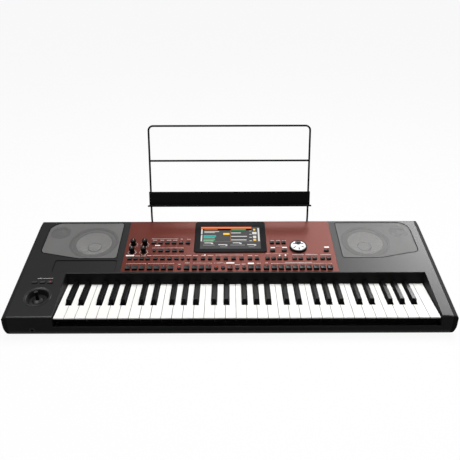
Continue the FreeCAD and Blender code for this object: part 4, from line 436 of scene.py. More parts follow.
def split(piece):
    """Makes the selected faces of an open piece a piece of their own."""
    known = set(bpy.data.objects)
    bpy.ops.mesh.separate(type="SELECTED")
    return next(other for other in bpy.data.objects if other not in known)


def smooth(piece, angle=40):
    take(piece)
    bpy.ops.object.shade_smooth_by_angle(angle=math.radians(angle))


def modify(piece, kind, **values):
    """Adds a modifier and applies it."""
    take(piece)
    modifier = piece.modifiers.new(kind.lower(), kind)
    for name, value in values.items():
        setattr(modifier, name, value)
    bpy.ops.object.modifier_apply(modifier=modifier.name)


def cad_copy(name, edge=0.0, angle=40):
    """A merged and smoothed copy of a CAD node, with its sharp edges rounded if an edge size is given."""
    mesh = bpy.data.meshes.new_from_object(NODES[name])
    piece = bpy.data.objects.new(name + "_dressed", mesh)
    bpy.context.collection.objects.link(piece)
    edit(piece)
    bpy.ops.mesh.select_all(action="SELECT")
    bpy.ops.mesh.customdata_custom_splitnormals_clear()
    bpy.ops.mesh.remove_doubles(threshold=MERGE)
    if edge:
        bpy.ops.mesh.dissolve_limited(angle_limit=math.radians(FLAT))
    close()
    if edge:
        modify(piece, "BEVEL", width=edge, segments=2, limit_method="ANGLE", angle_limit=math.radians(SHARP),
               use_clamp_overlap=True)
    smooth(piece, angle)
    if edge:
        modify(piece, "WEIGHTED_NORMAL", keep_sharp=True)
    return piece


def world_islands(name):
    """The separate solids of a CAD node, each as its corners."""
    mesh = NODES[name].data
    keys = [tuple(round(value, 6) for value in vertex.co) for vertex in mesh.vertices]
    home = {key: key for key in keys}

    def root(key):
        while home[key] != key:
            home[key] = home[home[key]]
            key = home[key]
        return key

    for face in mesh.polygons:
        first = root(keys[face.vertices[0]])
        for index in face.vertices[1:]:
            home[root(keys[index])] = first
    solids = {}
    for key in home:
        solids.setdefault(root(key), []).append(Vector(key))
    return list(solids.values())


def islands(name):
    """The separate solids of a CAD node, each as its corners on the sloped top."""
    return [[TOP_INVERSE @ point for point in points] for points in world_islands(name)]


def local_box(points):
    low = Vector([min(point[axis] for point in points) for axis in range(3)])
    high = Vector([max(point[axis] for point in points) for axis in range(3)])
    return low, high


def node_box(name):
    """A CAD node's box on the sloped top."""
    return local_box([TOP_INVERSE @ vertex.co for vertex in NODES[name].data.vertices])


def at(x, y, z=0):
    return Matrix.Translation((x, y, z))


def turned(angle):
    """A turn about the up axis, in degrees."""
    return Matrix.Rotation(math.radians(angle), 4, "Z")


def copies(name, model, places):
    """One piece from a model copied to many places on the sloped top. The model itself is used up."""
    gathered = bmesh.new()
    for place in places:
        copy = model.data.copy()
        copy.transform(TOP @ place)
        gathered.from_mesh(copy)
        bpy.data.meshes.remove(copy)
    mesh = bpy.data.meshes.new(name)
    gathered.to_mesh(mesh)
    gathered.free()
    piece = bpy.data.objects.new(name, mesh)
    bpy.context.collection.objects.link(piece)
    bpy.data.objects.remove(model)
    return piece


def finish(name):
    return bpy.data.materials[name + "_finish"]


def own(piece, name, look, body, slot, *nodes):
    """Names a piece, gives it its finish, ties it to its body, and hides the CAD nodes it stands for."""
    piece.name = name
    piece.data.name = name
    piece.data.materials.clear()
    piece.data.materials.append(finish(look))
    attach(piece, body)
    if nodes:
        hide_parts(*nodes)


def own_copies(model, places, name, look, body, slot, *nodes):
    """Owns a model copied to places on the sloped top."""
    own(copies(name, model, places), name, look, body, slot, *nodes)


def lay(piece, name, look, body, slot, *nodes):
    """Lays a piece that was modelled flat on the sloped top and owns it."""
    piece.data.transform(TOP)
    own(piece, name, look, body, slot, *nodes)


def recoat(node_name, name, look, body, slot, edge=0.0, angle=40):
    """Puts a smoothed copy of a CAD node in its place."""
    own(cad_copy(node_name, edge, angle), name, look, body, slot, node_name)


def dress(name, look):
    """Keeps a CAD node and gives it a finish."""
    mesh = NODES[name].data
    mesh.materials.clear()
    mesh.materials.append(finish(look))


# Finishes

# Height of a moulded grain as a share of its size
GRAIN_HEIGHT_SHARE = 0.125
# Sideways lean of a normal at which a face starts to count as a side
SIDE_START = 0.35
# A lip height above every piece, for finishes without a lip
NO_LIP = 1.0


def fill(tree, made, values):
    """Sets a node's inputs and attributes. A socket among the values is linked to its input."""
    for name, value in values.items():
        if isinstance(value, bpy.types.NodeSocket):
            tree.links.new(value, made.inputs[name])
        elif isinstance(name, int) or name in made.inputs:
            made.inputs[name].default_value = value
        else:
            setattr(made, name, value)


def node(tree, kind, **values):
    """A shader node. Its inputs are named by their labels, with underscores for spaces."""
    made = tree.nodes.new("ShaderNode" + kind)
    fill(tree, made, {name if hasattr(made, name) else name.replace("_", " "): value
                      for name, value in values.items()})
    return made


def maths(tree, operation, *values):
    made = node(tree, "Math", operation=operation)
    fill(tree, made, dict(enumerate(values)))
    return made.outputs[0]


def gain_on(tree, colour, gain):
    """A colour made lighter or darker by a gain."""
    made = node(tree, "VectorMath", operation="SCALE")
    fill(tree, made, {0: colour, "Scale": gain})
    return made.outputs[0]


def spread(tree, value, low, high, to_low, to_high):
    """A value between two bounds, spread between two others."""
    return node(tree, "MapRange", Value=value, From_Min=low, From_Max=high, To_Min=to_low,
                To_Max=to_high).outputs[0]


def coordinates(tree, kind):
    return node(tree, "TexCoord").outputs[kind]


def parts_of(tree, vector):
    return node(tree, "SeparateXYZ", Vector=vector).outputs


def node_group(name, inputs, outputs):
    """An empty shader group. Its sockets named Color hold colours, and the others values."""
    tree = bpy.data.node_groups.new(name, "ShaderNodeTree")
    for direction, labels in (("INPUT", inputs), ("OUTPUT", outputs)):
        for label in labels:
            kind = "NodeSocketColor" if label == "Color" else "NodeSocketFloat"
            tree.interface.new_socket(label, in_out=direction, socket_type=kind)
    return tree, tree.nodes.new("NodeGroupInput").outputs, tree.nodes.new("NodeGroupOutput")


def moulded_grain():
    """Moulded or painted surface: slow colour drift, fine grain for the roughness, and a height."""
    tree, given, out = node_group("moulded_grain", ("Color", "Grain Scale", "Drift", "Roughness"),
                                  ("Color", "Roughness", "Height"))
    place = coordinates(tree, "Object")
    slow = node(tree, "TexNoise", Vector=place, Scale=11.0, Detail=3.0).outputs[0]
    fine = node(tree, "TexNoise", Vector=place, Scale=given["Grain Scale"], Detail=2.0).outputs[0]
    low, high = (maths(tree, operation, 1.0, given["Drift"]) for operation in ("SUBTRACT", "ADD"))
    colour = gain_on(tree, given["Color"], spread(tree, slow, 0.3, 0.7, low, high))
    rough = maths(tree, "ADD", given["Roughness"], spread(tree, fine, 0.25, 0.75, -0.07, 0.07))
    fill(tree, out, {"Color": colour, "Roughness": rough, "Height": fine})


def metal_flake():
    """Lacquer with fine metal flake in it: bright cells in the colour."""
    tree, given, out = node_group("metal_flake", ("Color", "Flake Scale", "Sparkle"), ("Color",))
    cells = node(tree, "TexVoronoi", Vector=coordinates(tree, "Object"), Scale=given["Flake Scale"])
    grey = node(tree, "RGBToBW", Color=cells.outputs["Color"]).outputs[0]
    gain = maths(tree, "MULTIPLY_ADD", spread(tree, grey, 0.45, 0.95, 0.0, 1.0), given["Sparkle"], 0.94)
    fill(tree, out, {"Color": gain_on(tree, given["Color"], gain)})


def brushed_lines():
    """Fine lines along the sideways direction: a roughness and a height."""
    tree, given, out = node_group("brushed_lines", ("Roughness",), ("Roughness", "Height"))
    drawn = node(tree, "Mapping", Vector=coordinates(tree, "Object"), Scale=(30.0, 2400.0, 2400.0)).outputs[0]
    lines = node(tree, "TexNoise", Vector=drawn, Scale=1.0, Detail=2.0).outputs[0]
    rough = maths(tree, "ADD", given["Roughness"], spread(tree, lines, 0.0, 1.0, -0.12, 0.12))
    fill(tree, out, {"Roughness": rough, "Height": lines})


def pixel_rows():
    """The fine rows and columns of a display, over a colour."""
    tree, given, out = node_group("pixel_rows", ("Color",), ("Color",))
    place = coordinates(tree, "Object")
    rows, columns = (node(tree, "TexWave", Vector=place, Scale=420.0, bands_direction=axis).outputs[1]
                     for axis in ("Y", "X"))
    gain = spread(tree, maths(tree, "ADD", rows, columns), 0.0, 2.0, 0.86, 1.06)
    fill(tree, out, {"Color": gain_on(tree, given["Color"], gain)})


def shaded_walls():
    """Painted shade on upright faces that stand close together: a colour made darker on the sides and in front
    below a lip, where the gaps and the space under the lip lie in shade.
    """
    tree, given, out = node_group("shaded_walls", ("Color", "Sides", "Front", "Lip"), ("Color",))
    facing = parts_of(tree, coordinates(tree, "Normal"))
    height = parts_of(tree, coordinates(tree, "Object"))["Z"]
    under_lip = maths(tree, "SUBTRACT", given["Lip"], 0.0003)
    front = spread(tree, height, under_lip, given["Lip"], given["Front"], 0.7)
    across, forward = maths(tree, "ABSOLUTE", facing["X"]), maths(tree, "MULTIPLY", facing["Y"], -1.0)
    colour = gain_on(tree, given["Color"], spread(tree, across, SIDE_START, 0.95, 1.0, given["Sides"]))
    fill(tree, out, {"Color": gain_on(tree, colour, spread(tree, forward, 0.6, 0.95, 1.0, front))})


def blank_material(name):
    material = bpy.data.materials.new(name + "_finish")
    material.use_nodes = True
    return material.node_tree, material.node_tree.nodes["Principled BSDF"]


def use_group(tree, name, **values):
    made = tree.nodes.new("ShaderNodeGroup")
    made.node_tree = bpy.data.node_groups[name]
    fill(tree, made, {label.replace("_", " "): value for label, value in values.items()})
    return made.outputs


def bump(tree, height, strength, distance):
    return node(tree, "Bump", Strength=strength, Distance=distance, Height=height).outputs["Normal"]


def moulded(name, colour, roughness, grain, drift, depth, sheen=0.1):
    """A moulded, painted or woven finish from the shared grain group."""
    tree, shader = blank_material(name)
    surface = use_group(tree, "moulded_grain", Color=(*colour, 1), Grain_Scale=1 / grain, Drift=drift,
                        Roughness=roughness)
    fill(tree, shader, {"Base Color": surface["Color"], "Roughness": surface["Roughness"],
                        "Specular IOR Level": sheen,
                        "Normal": bump(tree, surface["Height"], depth, grain * GRAIN_HEIGHT_SHARE)})


def shade_walls(name, sides, front, lip=NO_LIP):
    """Paints shade on a finish's upright faces, making them darker, and takes the sheen off its sides."""
    tree = finish(name).node_tree
    shader = tree.nodes["Principled BSDF"]
    colour, sheen = shader.inputs["Base Color"], shader.inputs["Specular IOR Level"].default_value
    walls = use_group(tree, "shaded_walls", Color=colour.links[0].from_socket, Sides=sides, Front=front,
                      Lip=lip)
    across = maths(tree, "ABSOLUTE", parts_of(tree, coordinates(tree, "Normal"))["X"])
    fill(tree, shader, {"Base Color": walls["Color"],
                        "Specular IOR Level": spread(tree, across, SIDE_START, 0.9, sheen, 0.004)})


def roughen_and_shade_ends(name, start):
    """Makes a finish rougher beyond a distance to the left and right, and darker there as painted shade on the
    rounded end shoulders.
    """
    tree = finish(name).node_tree
    shader = tree.nodes["Principled BSDF"]
    across = maths(tree, "ABSOLUTE", parts_of(tree, coordinates(tree, "Object"))["X"])
    end = start + 3 * FILM
    colour, rough = (shader.inputs[label].links[0].from_socket for label in ("Base Color", "Roughness"))
    fill(tree, shader, {"Base Color": gain_on(tree, colour, spread(tree, across, start, end, 1.0, 0.6)),
                        "Roughness": maths(tree, "ADD", rough, spread(tree, across, start, end, 0.0, 0.45))})


def lacquer(name, colour):
    """The panel's red-brown metallic lacquer under a clear coat."""
    tree, shader = blank_material(name)
    drift = use_group(tree, "moulded_grain", Color=(*colour, 1), Grain_Scale=900.0, Drift=0.03,
                      Roughness=0.28)
    flake = use_group(tree, "metal_flake", Color=drift["Color"], Flake_Scale=2600.0, Sparkle=0.2)
    fill(tree, shader, {"Base Color": flake["Color"], "Roughness": drift["Roughness"],
                        "Normal": bump(tree, drift["Height"], strength=0.05, distance=0.00004),
                        "Metallic": 0.095, "Specular IOR Level": 0.022, "Coat Weight": 0.01,
                        "Coat Roughness": 0.12})


def brushed(name, colour, roughness):
    """Bare drawn steel."""
    tree, shader = blank_material(name)
    lines = use_group(tree, "brushed_lines", Roughness=roughness)
    grain = use_group(tree, "moulded_grain", Color=(*colour, 1), Grain_Scale=1500.0, Drift=0.05)
    fill(tree, shader, {"Base Color": grain["Color"], "Roughness": lines["Roughness"], "Metallic": 1.0,
                        "Normal": bump(tree, lines["Height"], strength=0.1, distance=0.00003)})


def lit(name, colour):
    """A glowing display or lamp surface with its fine pixel rows."""
    tree, shader = blank_material(name)
    unlit_share = 0.3
    rows = use_group(tree, "pixel_rows", Color=(*colour, 1))
    dark = use_group(tree, "moulded_grain", Color=(*(value * unlit_share for value in colour), 1),
                     Grain_Scale=2000.0, Drift=0.02, Roughness=0.2)
    fill(tree, shader, {"Emission Color": rows["Color"], "Emission Strength": 0.9,
                        "Base Color": dark["Color"], "Roughness": dark["Roughness"],
                        "Specular IOR Level": 0.01})


class KEYBOARD_OT_finishes(bpy.types.Operator):
    """Finishes of all pieces"""
    bl_idname = "keyboard.finishes"
    bl_label = "Finishes"

    def execute(self, context):
        for group in (moulded_grain, metal_flake, brushed_lines, pixel_rows, shaded_walls):
            group()
        case, panel, button, key = settings("case"), settings("panel"), settings("buttons"), settings("keys")
        # Colour, roughness, size of the grain, drift of the colour, depth of the grain and sheen
        surfaces = {
            "case_black": (case.colour, 0.42, case.grain, 0.08, 0.08, 0.045),
            "print_white": (panel.print_colour, 0.55, 0.0003, 0.03, 0.05, 0.01),
            "plate_white": (panel.plate_colour, 0.55, 0.0003, 0.03, 0.05, 0.01),
            "button_grey": (button.colour, 0.5, 0.0004, 0.08, 0.1, 0.025),
            "start_red": (button.start, 0.48, 0.0004, 0.08, 0.1, 0.06),
            "key_white": (key.white, 0.35, 0.0009, 0.015, 0.03, 0.006),
            "key_black": (key.black, 0.28, 0.0005, 0.1, 0.1, 0.028),
            "grille_grey": (settings("grilles").colour, 0.5, 0.0003, 0.03, 0.1, 0.05),
            "bezel_black": ((0.013, 0.013, 0.0138), 0.24, 0.0012, 0.1, 0.04, 0.004),
            "screen_base": ((0.07, 0.07, 0.072), 0.16, 0.002, 0.03, 0.0, 0.004),
            "dial_white": (settings("controls").dial, 0.3, 0.0006, 0.02, 0.05),
            "dial_mark": ((0.004, 0.004, 0.0042), 0.5, 0.0004, 0.05, 0.05, 0.03),
            "knob_black": ((0.008, 0.008, 0.0084), 0.5, 0.0005, 0.08, 0.1, 0.03),
            # Near black, darker than the case: black plastic, and partly painted shade for the joystick's deep
            # cup
            "joystick_black": ((0.004, 0.004, 0.0042), 0.5, 0.0006, 0.08, 0.1, 0.05),
            # Painted shadow: the dark lines round the pad and round the grilles
            "seat_black": ((0.004, 0.004, 0.0042), 0.6, 0.0005, 0.08, 0.1, 0.01),
            "rest_black": ((0.003, 0.003, 0.0032), 0.45, 0.0008, 0.08, 0.1, 0.03),
            "socket_black": ((0.016, 0.016, 0.016), 0.45, 0.0005, 0.08, 0.2),
            "rubber_black": ((0.018, 0.018, 0.018), 0.75, 0.0005, 0.12, 0.4),
            "frame_grey": ((0.06, 0.06, 0.062), 0.55, 0.0006, 0.06, 0.2),
            "basket_black": ((0.025, 0.025, 0.026), 0.5, 0.0007, 0.08, 0.25),
            "cone_grey": ((0.6, 0.595, 0.585), 0.8, 0.0012, 0.06, 0.3, 0.05),
            # Dark grey of the surrounds, also used as painted shade in the grooves round the dust caps
            "surround_grey": ((0.1, 0.1, 0.1), 0.7, 0.0007, 0.06, 0.2, 0.05),
            "lining_grey": ((0.16, 0.158, 0.156), 0.9, 0.0005, 0.1, 0.3, 0.05),
            # The felts are dark grey, partly as painted shade for the recess under the keys
            "felt_grey": ((0.03, 0.03, 0.031), 0.95, 0.0005, 0.2, 0.8),
            "board_green": ((0.018, 0.1, 0.045), 0.4, 0.0008, 0.1, 0.1),
            "lamp_dark": ((0.06, 0.008, 0.008), 0.25, 0.0004, 0.05, 0.02),
        }
        for name, values in surfaces.items():
            moulded(name, *values)
        key_top = max(corner.co.z for corner in NODES[WHITE_KEYS[0]].data.vertices)
        # The case's end bands: rougher, and darker as painted shade on the rounded shoulders
        roughen_and_shade_ends("case_black", CAD_HIGH.x - case.band)
        # Painted shade: darker sides and fronts on the caps and keys, for the gaps between them and the space
        # under the key lips
        shade_walls("button_grey", sides=0.3, front=0.1)
        shade_walls("start_red", sides=0.4, front=0.15)
        shade_walls("key_white", sides=0.1, front=0.03, lip=key_top - key.lip)
        shade_walls("key_black", sides=1.0, front=0.6)
        lacquer("panel_brown", panel.colour)
        brushed("steel", colour=(0.6, 0.6, 0.6), roughness=0.32)
        lit("lamp_red", (0.85, 0.03, 0.02))
        for name, colour in SCREEN_COLOURS.items():
            lit(name, colour)
        return {"FINISHED"}


# Pieces

class KEYBOARD_OT_case(bpy.types.Operator):
    """Case shells with rounded edges, the painted shadow line round the pad, feet and screws"""
    bl_idname = "keyboard.case"
    bl_label = "Case"

    def execute(self, context):
        edge = settings("case").edge
        recoat("upper_case", "upper_case_shell", "case_black", "root", "case_black", edge)
        lower = cad_copy("lower_case", edge)
        self.draw_corners(lower)
        own(lower, "lower_case_shell", "case_black", "root", "case_black", "lower_case")
        recoat("rubber_feet", "moulded_feet", "rubber_black", "root", "rubber_black", edge)
        dress("case_screws", "steel")
        self.pad_line()
        return {"FINISHED"}

    def pad_line(self):
        """Painted shadow: the dark line round the sunk pad over the bass keys, for the shade at its sunk edge.
        """
        left, right, front, rear, sunk, corner = (value * MM for value in PAD)
        piece = block((right - left, rear - front, 2 * FILM), ((left + right) / 2, (front + rear) / 2, -sunk),
                      corner, segments=6)
        cut_away(piece, lambda face: not faces_up(face))
        bpy.ops.mesh.select_all(action="SELECT")
        inset((settings("case").line, 0))
        bpy.ops.mesh.delete(type="FACE")
        close()
        modify(piece, "SOLIDIFY", thickness=FILM, offset=-1)
        lay(piece, "pad_line", "seat_black", "root", "case_black")

    def draw_corners(self, piece):
        """Draws the lower shell in towards its two bottom front corners."""
        corner = settings("case").corner
        inward_share, forward_share, levels = 1.2, 0.75, 7
        low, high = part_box("lower_case")
        edit(piece)
        bpy.ops.mesh.customdata_custom_splitnormals_clear()
        for level in range(1, levels):
            height = high.z + (low.z - high.z) * level / levels
            bpy.ops.mesh.select_all(action="SELECT")
            bpy.ops.mesh.bisect(plane_co=(0, 0, height), plane_no=(0, 0, 1))
        close()
        for side, name in ((-1, "left"), (1, "right")):
            group = piece.vertex_groups.new(name=name)
            for vertex in piece.data.vertices:
                drop = (high.z - vertex.co.z) / (high.z - low.z)
                inward = min(max((vertex.co.x * side - high.x + inward_share * corner) / corner, 0), 1)
                forward = min(max((low.y + corner - vertex.co.y) / (forward_share * corner), 0), 1)
                curve = 1 - math.sqrt(max(1 - drop * drop, 0))
                group.add([vertex.index], curve * inward * forward, "REPLACE")
            modify(piece, "DISPLACE", direction="X", strength=-side * corner, mid_level=0, vertex_group=name)
        piece.vertex_groups.clear()
        smooth(piece)
        modify(piece, "WEIGHTED_NORMAL", keep_sharp=True)


class KEYBOARD_OT_panel(bpy.types.Operator):
    """Control panel with its printed brackets, captions and plates"""
    bl_idname = "keyboard.panel"
    bl_label = "Control Panel"

    def execute(self, context):
        dress("control_panel", "panel_brown")
        brackets = []
        for left, right, back in BRACKETS:
            middle = back - BRACKET_END / 2
            brackets.append((left, right, back, BRACKET_LINE))
            brackets.append((left, left + BRACKET_LINE, middle, BRACKET_END))
            brackets.append((right - BRACKET_LINE, right, middle, BRACKET_END))
        self.marks("panel_brackets", "print_white", brackets)
        self.marks("panel_captions", "print_white", [(*row, CAPTION_DEPTH) for row in CAPTIONS])
        self.marks("panel_plates", "plate_white", PLATES)
        self.marks("cheek_caption", "print_white", CHEEK_CAPTION)
        return {"FINISHED"}

    def marks(self, name, look, rows):
        """Flat printed marks, from rows of left end, right end, place back and depth in mm."""
        height = 2 * settings("panel").print_height
        front = node_box("control_panel")[0].y
        pieces = []
        for left, right, back, depth in rows:
            size = ((right - left) * MM, depth * MM, height)
            corner = min(size[:2]) * MARK_CORNER_SHARE
            pieces.append(block(size, ((left + right) / 2 * MM, front + back * MM, 0), corner))
            close()
        lay(join(pieces), name, look, "root", "panel_brown")


class KEYBOARD_OT_buttons(bpy.types.Operator):
    """Button caps and switches with their lamps"""
    bl_idname = "keyboard.buttons"
    bl_label = "Buttons"

    def execute(self, context):
        for bank in BANKS:
            self.bank(bank, "start_red" if bank == "start_button" else "button_grey")
        return {"FINISHED"}

    def bank(self, bank, look):
        """All caps of a bank, modelled once for each size, and their lamps."""
        kinds = {}
        for index, (middle, *kind) in enumerate(self.caps(bank)):
            kinds.setdefault(tuple(kind), []).append((index, middle))
        pieces, lamps = [], {"lamp_red": [], "lamp_dark": []}
        for kind, spots in kinds.items():
            width, depth, low, high, is_round = kind
            places = [at(middle.x, middle.y) for index, middle in spots]
            pieces.append(copies(bank, self.cap_model(*kind), places))
            for index, middle in spots:
                lamp = "lamp_red" if index in LIT_LAMPS.get(bank, ()) else "lamp_dark"
                spot = at(middle.x, middle.y + depth * LAMP_PLACE_SHARE, high - settings("buttons").dish)
                lamps[lamp].append(spot)
        own(join(pieces), bank + "_caps", look, bank, look, bank)
        for lamp, ending in (("lamp_red", "_lit_lamps"), ("lamp_dark", "_dark_lamps")):
            if lamps[lamp]:
                own_copies(self.lamp_model(), lamps[lamp], bank + ending, lamp, bank, look)

    def caps(self, bank):
        """Each cap of a bank: its middle, width, depth, foot, top and whether it is round, row by row."""
        square_corners, panel_clearance = 8, 1e-4
        caps = []
        for points in islands(bank):
            low, high = local_box(points)
            top = [point for point in points if point.z > high.z - MERGE]
            outer = [point for point in points if panel_clearance < point.z < high.z - MERGE]
            side_low, side_high = local_box(outer or top)
            size = side_high - side_low
            caps.append(((side_low + side_high) / 2, round(size.x, 4), round(size.y, 4), round(low.z, 5),
                         round(high.z, 5), len(top) > square_corners))
        return sorted(caps, key=lambda cap: (round(cap[0].y, 3), cap[0].x))

    def cap_model(self, width, depth, low, high, is_round):
        """One button cap about its own middle: rounded corners, a rounded top edge and a shallow dish."""
        button = settings("buttons")
        if is_round:
            piece = disc(width / 2, low, high, SMALL_SIDES)
        else:
            piece = block((width, depth, high - low), (0, 0, (low + high) / 2), button.corner, segments=3)
        round_top(piece, high, button.edge, segments=3)
        pick(piece, "FACE", lambda face: faces_up(face) and face.calc_center_median().z > high - SAME)
        inset((button.corner, -button.dish))
        close()
        smooth(piece, angle=30)
        return piece

    def lamp_model(self):
        """A small lamp window with rounded edges, standing on a cap's top."""
        width = settings("buttons").lamp
        depth = width * LAMP_DEPTH_SHARE
        piece = block((width, depth, 4 * FILM), (0, 0, 0), depth * LAMP_CORNER_SHARE)
        round_top(piece, 2 * FILM, FILM, segments=2)
        close()
        smooth(piece, angle=50)
        return piece


class KEYBOARD_OT_display(bpy.types.Operator):
    """Display bezel, screen and its generic picture"""
    bl_idname = "keyboard.display"
    bl_label = "Display"

    def execute(self, context):
        display = settings("display")
        recoat("display_bezel", "display_frame", "bezel_black", "root", "bezel_black", display.edge)
        recoat("display_screen", "screen_module", "screen_base", "root", "screen", FILM)
        low, high = node_box("display_screen")
        left, rear = low.x + display.border, high.y - display.border
        width, depth = high.x - display.border - left, rear - low.y - display.border
        for layer, (name, rows) in enumerate(SCREEN_BLOCKS.items()):
            height = high.z + FILM / 10 * layer
            pieces = []
            for left_share, right_share, top_share, bottom_share in rows:
                size = ((right_share - left_share) * width, (bottom_share - top_share) * depth, FILM)
                place = (left + (left_share + right_share) / 2 * width,
                         rear - (top_share + bottom_share) / 2 * depth, height)
                pieces.append(block(size, place, min(size[:2]) * SCREEN_CORNER_SHARE))
                close()
            lay(join(pieces), name + "_blocks", name, "root", "screen")
        return {"FINISHED"}


class KEYBOARD_OT_controls(bpy.types.Operator):
    """Data dial, knobs and joystick"""
    bl_idname = "keyboard.controls"
    bl_label = "Dial, Knobs and Joystick"

    def execute(self, context):
        self.dial()
        for name in KNOBS:
            self.knob(name)
        self.joystick()
        return {"FINISHED"}

    def dial(self):
        """The dial and its collar, with dark marks and a finger hole in its top."""
        control = settings("controls")
        recoat("data_dial", "dial_disc", "dial_white", "data_dial", "dial_white")
        recoat("dial_ring", "dial_collar", "knob_black", "root", "bezel_black")
        centre, top = TOP_INVERSE @ DIAL, node_box("data_dial")[1].z
        mark = block((control.mark_width, control.mark_length, 2 * FILM), (0, 0, 0), THIN_EDGE)
        close()
        places = [at(centre.x, centre.y, top) @ turned(angle) @ at(0, control.mark_reach)
                  for angle in DIAL_MARK_ANGLES]
        own_copies(mark, places, "dial_marks", "dial_mark", "data_dial", "bezel_black")
        hole = disc(control.hole, -2 * FILM, 2 * FILM, SMALL_SIDES)
        step = 6 * FILM
        pick(hole, "FACE", faces_up)
        inset((step, 0), (step, -step / 2), (step, -step / 3))
        close()
        smooth(hole, angle=60)
        own_copies(hole, [at(centre.x, centre.y + control.hole_reach, top)], "dial_finger_hole", "dial_mark",
                   "data_dial", "bezel_black")

    def knob(self, name):
        """A fluted knob with a white pointer, and the printed ticks round it."""
        control = settings("controls")
        low, high = node_box(name)
        centre = TOP_INVERSE @ Vector(JOINTS[name + "_turn"]["pos_m"])
        place = at(centre.x, centre.y)
        radius = (high.x - low.x) / 2
        self.fluted(name, radius, high.z, place)
        length_share, reach_share, height = 0.8, 0.45, 0.0003
        pointer = block((control.pointer, radius * length_share, height), (0, radius * reach_share, high.z),
                        control.pointer / 3)
        close()
        own_copies(pointer, [place], name + "_pointer", "print_white", name, "dial_white")
        tick = block((control.tick_width, control.tick_length, 2 * settings("panel").print_height),
                     (0, radius + control.tick_gap, 0), FILM)
        close()
        own_copies(tick, [place @ turned(angle) for angle in TICK_ANGLES], name + "_ticks", "print_white",
                   "root", "panel_brown")

    def fluted(self, name, radius, top, place):
        """A knob's cap, drawn in towards its top, with grip flutes and a shallow dish."""
        control = settings("controls")
        foot, edge, flute_gap = 0.0008, 0.0006, 0.00015
        top_share, rim, dish = 0.92, 0.0005, 0.0003
        sides = 2 * control.flutes
        piece = disc(radius, foot, top, sides)
        pick(piece, "FACE", faces_up)
        bpy.ops.transform.resize(value=(top_share, top_share, 1.0))

        def is_flute(face):
            number = round(math.atan2(face.normal.y, face.normal.x) / math.tau * sides - 0.5)
            return abs(face.normal.z) < WALL and number % 2 == 0

        pick(piece, "FACE", is_flute)
        bpy.ops.mesh.inset(thickness=flute_gap, depth=-control.flute_depth, use_individual=True)
        round_top(piece, top, edge, segments=2)
        pick(piece, "FACE", faces_up)
        inset((rim, 0), (rim, -dish))
        close()
        smooth(piece, angle=30)
        own_copies(piece, [place], name + "_cap", "knob_black", name, "knob_black", name)

    def joystick(self):
        """The joystick in its cup, and the raised rim round the cup."""
        # The near-black finish is partly painted shade for the deep cup
        recoat("joystick_cup", "joystick_bowl", "joystick_black", "root", "joystick_black", angle=50)
        recoat("joystick_lever", "joystick_stick", "joystick_black", "joystick_lever", "joystick_black",
               angle=50)
        dress("joystick_yoke", "joystick_black")
        low, high = node_box("joystick_cup")
        middle, radius = (low + high) / 2, (high.x - low.x) / 2
        rise_width, rise, fall_width, fall = 0.0008, 0.0006, 0.0022, 0.0008
        rim = disc(radius + settings("controls").rim, -FILM, FILM, LARGE_SIDES)
        pick(rim, "FACE", faces_up)
        inset((rise_width, rise), (fall_width, -fall))
        bpy.ops.mesh.delete(type="FACE")
        cut_away(rim, lambda face: face.normal.z < -LEVEL)
        close()
        modify(rim, "SOLIDIFY", thickness=FILM, offset=-1)
        smooth(rim, angle=25)
        own_copies(rim, [at(middle.x, middle.y)], "joystick_rim", "case_black", "root", "case_black")


def is_inside(point, corners):
    """Whether a point lies inside a closed row of corners."""
    inside = False
    for (ax, ay), (bx, by) in zip(corners, corners[1:] + corners[:1]):
        if (ay > point[1]) != (by > point[1]) and point[0] < (bx - ax) * (point[1] - ay) / (by - ay) + ax:
            inside = not inside
    return inside


